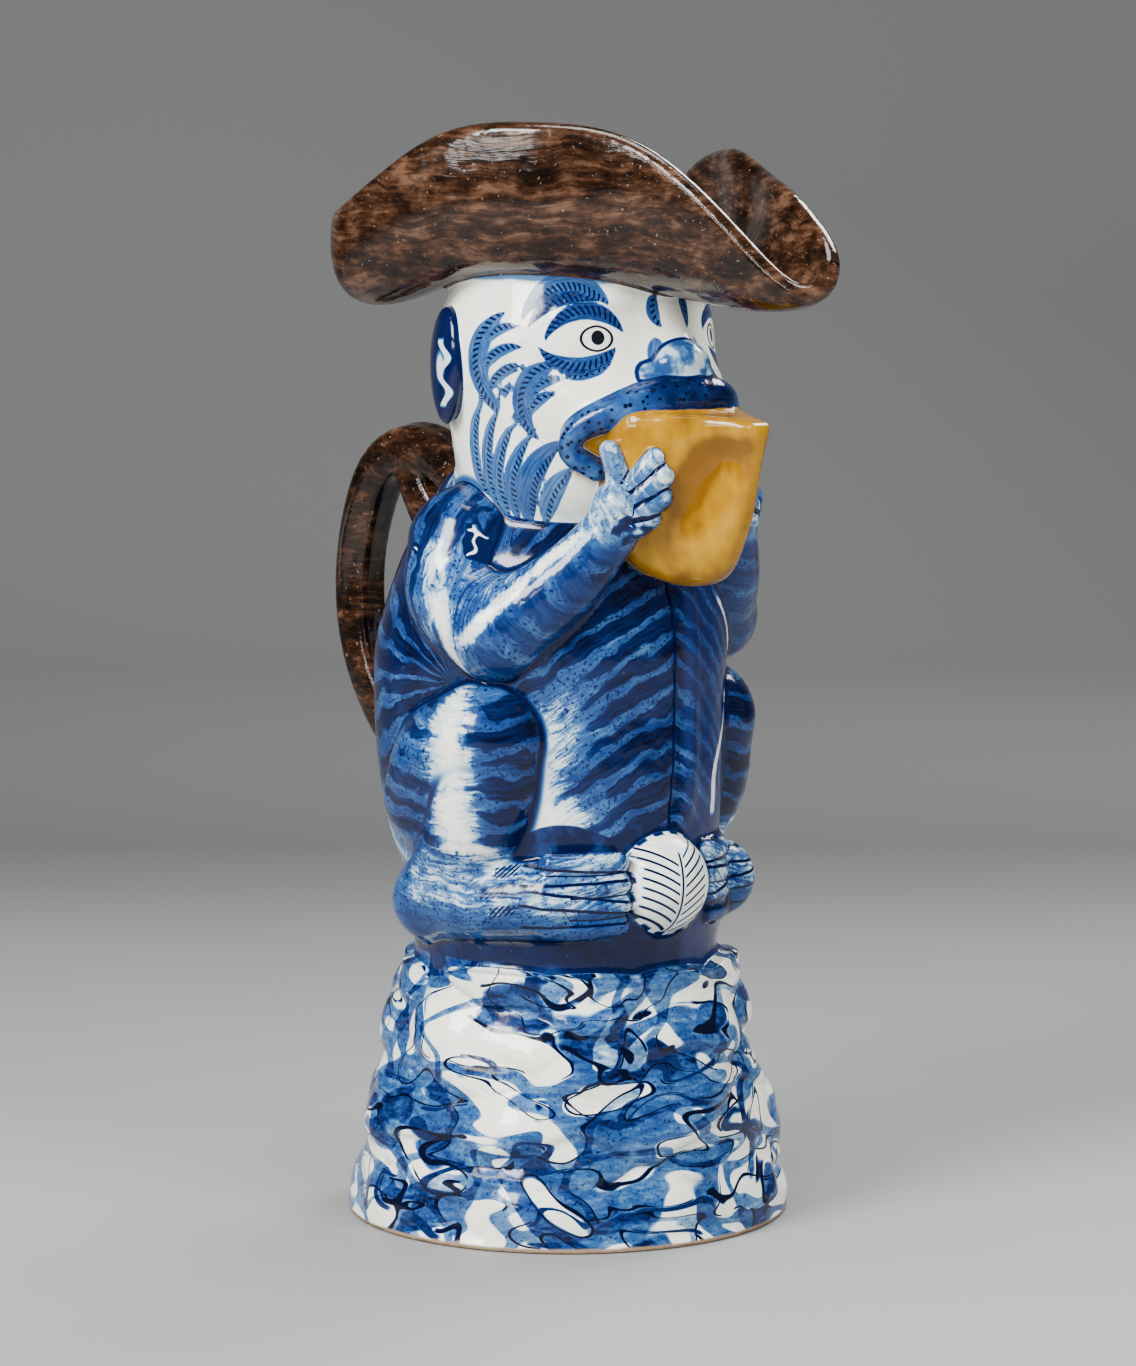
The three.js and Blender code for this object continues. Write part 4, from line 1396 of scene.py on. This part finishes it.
def paint_glaze():
    material, shader = start_paint("tin_glaze")
    at = read_skin()
    pinholes = fade(noise(at.place, 1.1, 1.0, seed=105.0), 0.765, 0.80) * 0.75
    on_hat = fade(at.hat + at.shake * 0.25, -0.2, 0.2)
    is_brown = most(on_hat, fade(at.handle + at.shake * 0.3 + 0.8, -0.2, 0.2))
    round_hat = maths("ARCTAN2", at.x, at.y) * (30.0 / 14)
    sway = drift(at.place, 14.0, 1.0, seed=119.0) * 7.0
    drawn = vector(round_hat, at.z + sway, length(at.x, at.y) / 3.0)
    brushed = drift(drawn, 1.15, 3.0, rough=0.6, seed=121.0)
    colour = glaze_colour(at, blue_paint(at), pinholes)
    colour = add_brown(at, add_yellow(at, add_eyes(at, colour)), is_brown, brushed)
    bare = fade(at.z + at.shake * 0.3, 1.6, 0.9)  # the unglazed edge of the foot
    feed(blend(bare, colour, BARE_CLAY), shader.inputs["Base Color"])
    feed(0.09 + 0.08 * noise(at.place, 8.0, 2.0, seed=141.0) + bare * 0.5, shader.inputs["Roughness"])
    shader.inputs["Specular IOR Level"].default_value = 0.36
    ripple = noise(at.place, 7.0, 2.0, seed=151.0) * 0.5 + noise(at.place, 1.6, 2.0, seed=153.0) * 0.035
    ripple = ripple + is_brown * (brushed + 0.5) * 0.12 - pinholes * 0.05
    feed(node("Bump", Height=ripple, Distance=MM * 1.0, Strength=0.5), shader.inputs["Normal"])
    return material


body.data.materials.append(paint_glaze())
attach(body, "root")
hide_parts("jug")


# ---------------------------------------------------------------- the studio
CAMERA_TURN = math.radians(-42)
RIGHT = Vector((math.cos(CAMERA_TURN), math.sin(CAMERA_TURN), 0))
TOWARD = Vector((math.sin(CAMERA_TURN), -math.cos(CAMERA_TURN), 0))
UP = Vector((0, 0, 1))
PAPER_WIDTH = 8.0
PAPER_FRONT, PAPER_BACK, PAPER_BEND, PAPER_TOP = -3.2, 1.25, 0.5, 4.0
BEND_STEPS = 24
# painted shade: the floor is darker behind the jug, darkest about 0.6 m back, and paler again up the bend
PAPER_TONES = [  # metres behind the jug, and how pale
    (-0.1, 0.265), (0.1, 0.221), (0.37, 0.15), (0.5, 0.1),
    (0.6, 0.077), (0.8, 0.112), (1.25, 0.185), (1.75, 0.175),
]
NEAREST_TONE, TONE_SPAN = -0.1, 1.9
LIGHTS = [
    # name, place right, toward and up from the camera's side, height aimed at, width, height, watts, shines
    ("key_light", (-0.8, 0.75, 0.9), 0.13, 0.5, 0.5, 38, True),
    ("front_light", (-0.3, 1.35, 0.45), 0.13, 0.16, 0.4, 7, False),
    ("top_light", (0, 0, 1.3), 0.13, 0.5, 0.5, 12, True),
    ("strip_light", (-0.74, 0.72, 0.40), 0.25, 0.55, 0.05, 2.6, True),
    ("fill_light", (0.95, 0.85, 0.7), 0.13, 0.6, 0.6, 17, False),
    ("rim_light", (0.5, -0.7, 0.95), 0.2, 0.5, 0.5, 15, True),
]
WORLD_COLOUR = (0.9, 0.95, 1.0, 1)
WORLD_STRENGTH = 0.16
CAMERA_AT = (0, 1.0, 0.235)
CAMERA_AIM = 0.1275
LENS = 110


def paint_paper():
    """Pale near the jug, darker behind it: painted shade, where the light falls off across the floor."""
    paper, shader = start_paint("pale_floor")
    x, y, _ = parts(node("TexCoord", output=3))
    behind = -(x * TOWARD.x + y * TOWARD.y)
    stops = [((distance - NEAREST_TONE) / TONE_SPAN, tone, tone, tone) for distance, tone in PAPER_TONES]
    feed(ramp((behind - NEAREST_TONE) / TONE_SPAN, *stops), shader.inputs["Base Color"])
    shader.inputs["Roughness"].default_value = 0.75
    return paper


def sweep():
    """A pale floor that rises softly into a backdrop."""
    profile = [(PAPER_FRONT, 0.0), (PAPER_BACK, 0.0)]
    for i in range(1, BEND_STEPS + 1):
        angle = math.pi / 2 * i / BEND_STEPS
        profile.append((PAPER_BACK + PAPER_BEND * math.sin(angle), PAPER_BEND * (1 - math.cos(angle))))
    profile.append((PAPER_BACK + PAPER_BEND, PAPER_TOP))
    points = [RIGHT * (side * PAPER_WIDTH / 2) - TOWARD * behind + UP * height
              for behind, height in profile for side in (-1, 1)]
    faces = [(2 * i, 2 * i + 1, 2 * i + 3, 2 * i + 2) for i in range(len(profile) - 1)]
    mesh = bpy.data.meshes.new("floor")
    mesh.from_pydata([tuple(p) for p in points], [], faces)
    mesh.polygons.foreach_set("use_smooth", np.ones(len(faces), bool))
    floor = placed("floor", mesh)
    mesh.materials.append(paint_paper())


def aim(obj, target):
    obj.rotation_euler = (Vector(target) - obj.location).to_track_quat("-Z", "Y").to_euler()


def from_camera(right, toward, up):
    """A place told from the camera's side of the jug, in metres."""
    return RIGHT * right + TOWARD * toward + UP * up


def softbox(name, place, height_aimed_at, width, height, power, shines):
    light = bpy.data.lights.new(name, "AREA")
    light.shape = "RECTANGLE"
    light.size, light.size_y, light.energy = width, height, power
    lamp = placed(name, light)
    lamp.location = from_camera(*place)
    lamp.visible_glossy = shines
    aim(lamp, (0, 0, height_aimed_at))


def studio():
    sweep()
    for row in LIGHTS:
        softbox(*row)
    world = bpy.data.worlds.new("studio")
    bpy.context.scene.world = world
    world.use_nodes = True
    back = world.node_tree.nodes["Background"]
    back.inputs["Color"].default_value = WORLD_COLOUR
    back.inputs["Strength"].default_value = WORLD_STRENGTH
    lens = bpy.data.cameras.new("camera")
    lens.sensor_fit = "VERTICAL"
    lens.sensor_height = 36
    lens.lens = LENS
    camera = placed("camera", lens)
    camera.location = from_camera(*CAMERA_AT)
    aim(camera, (0, 0, CAMERA_AIM))
    bpy.context.scene.camera = camera


studio()
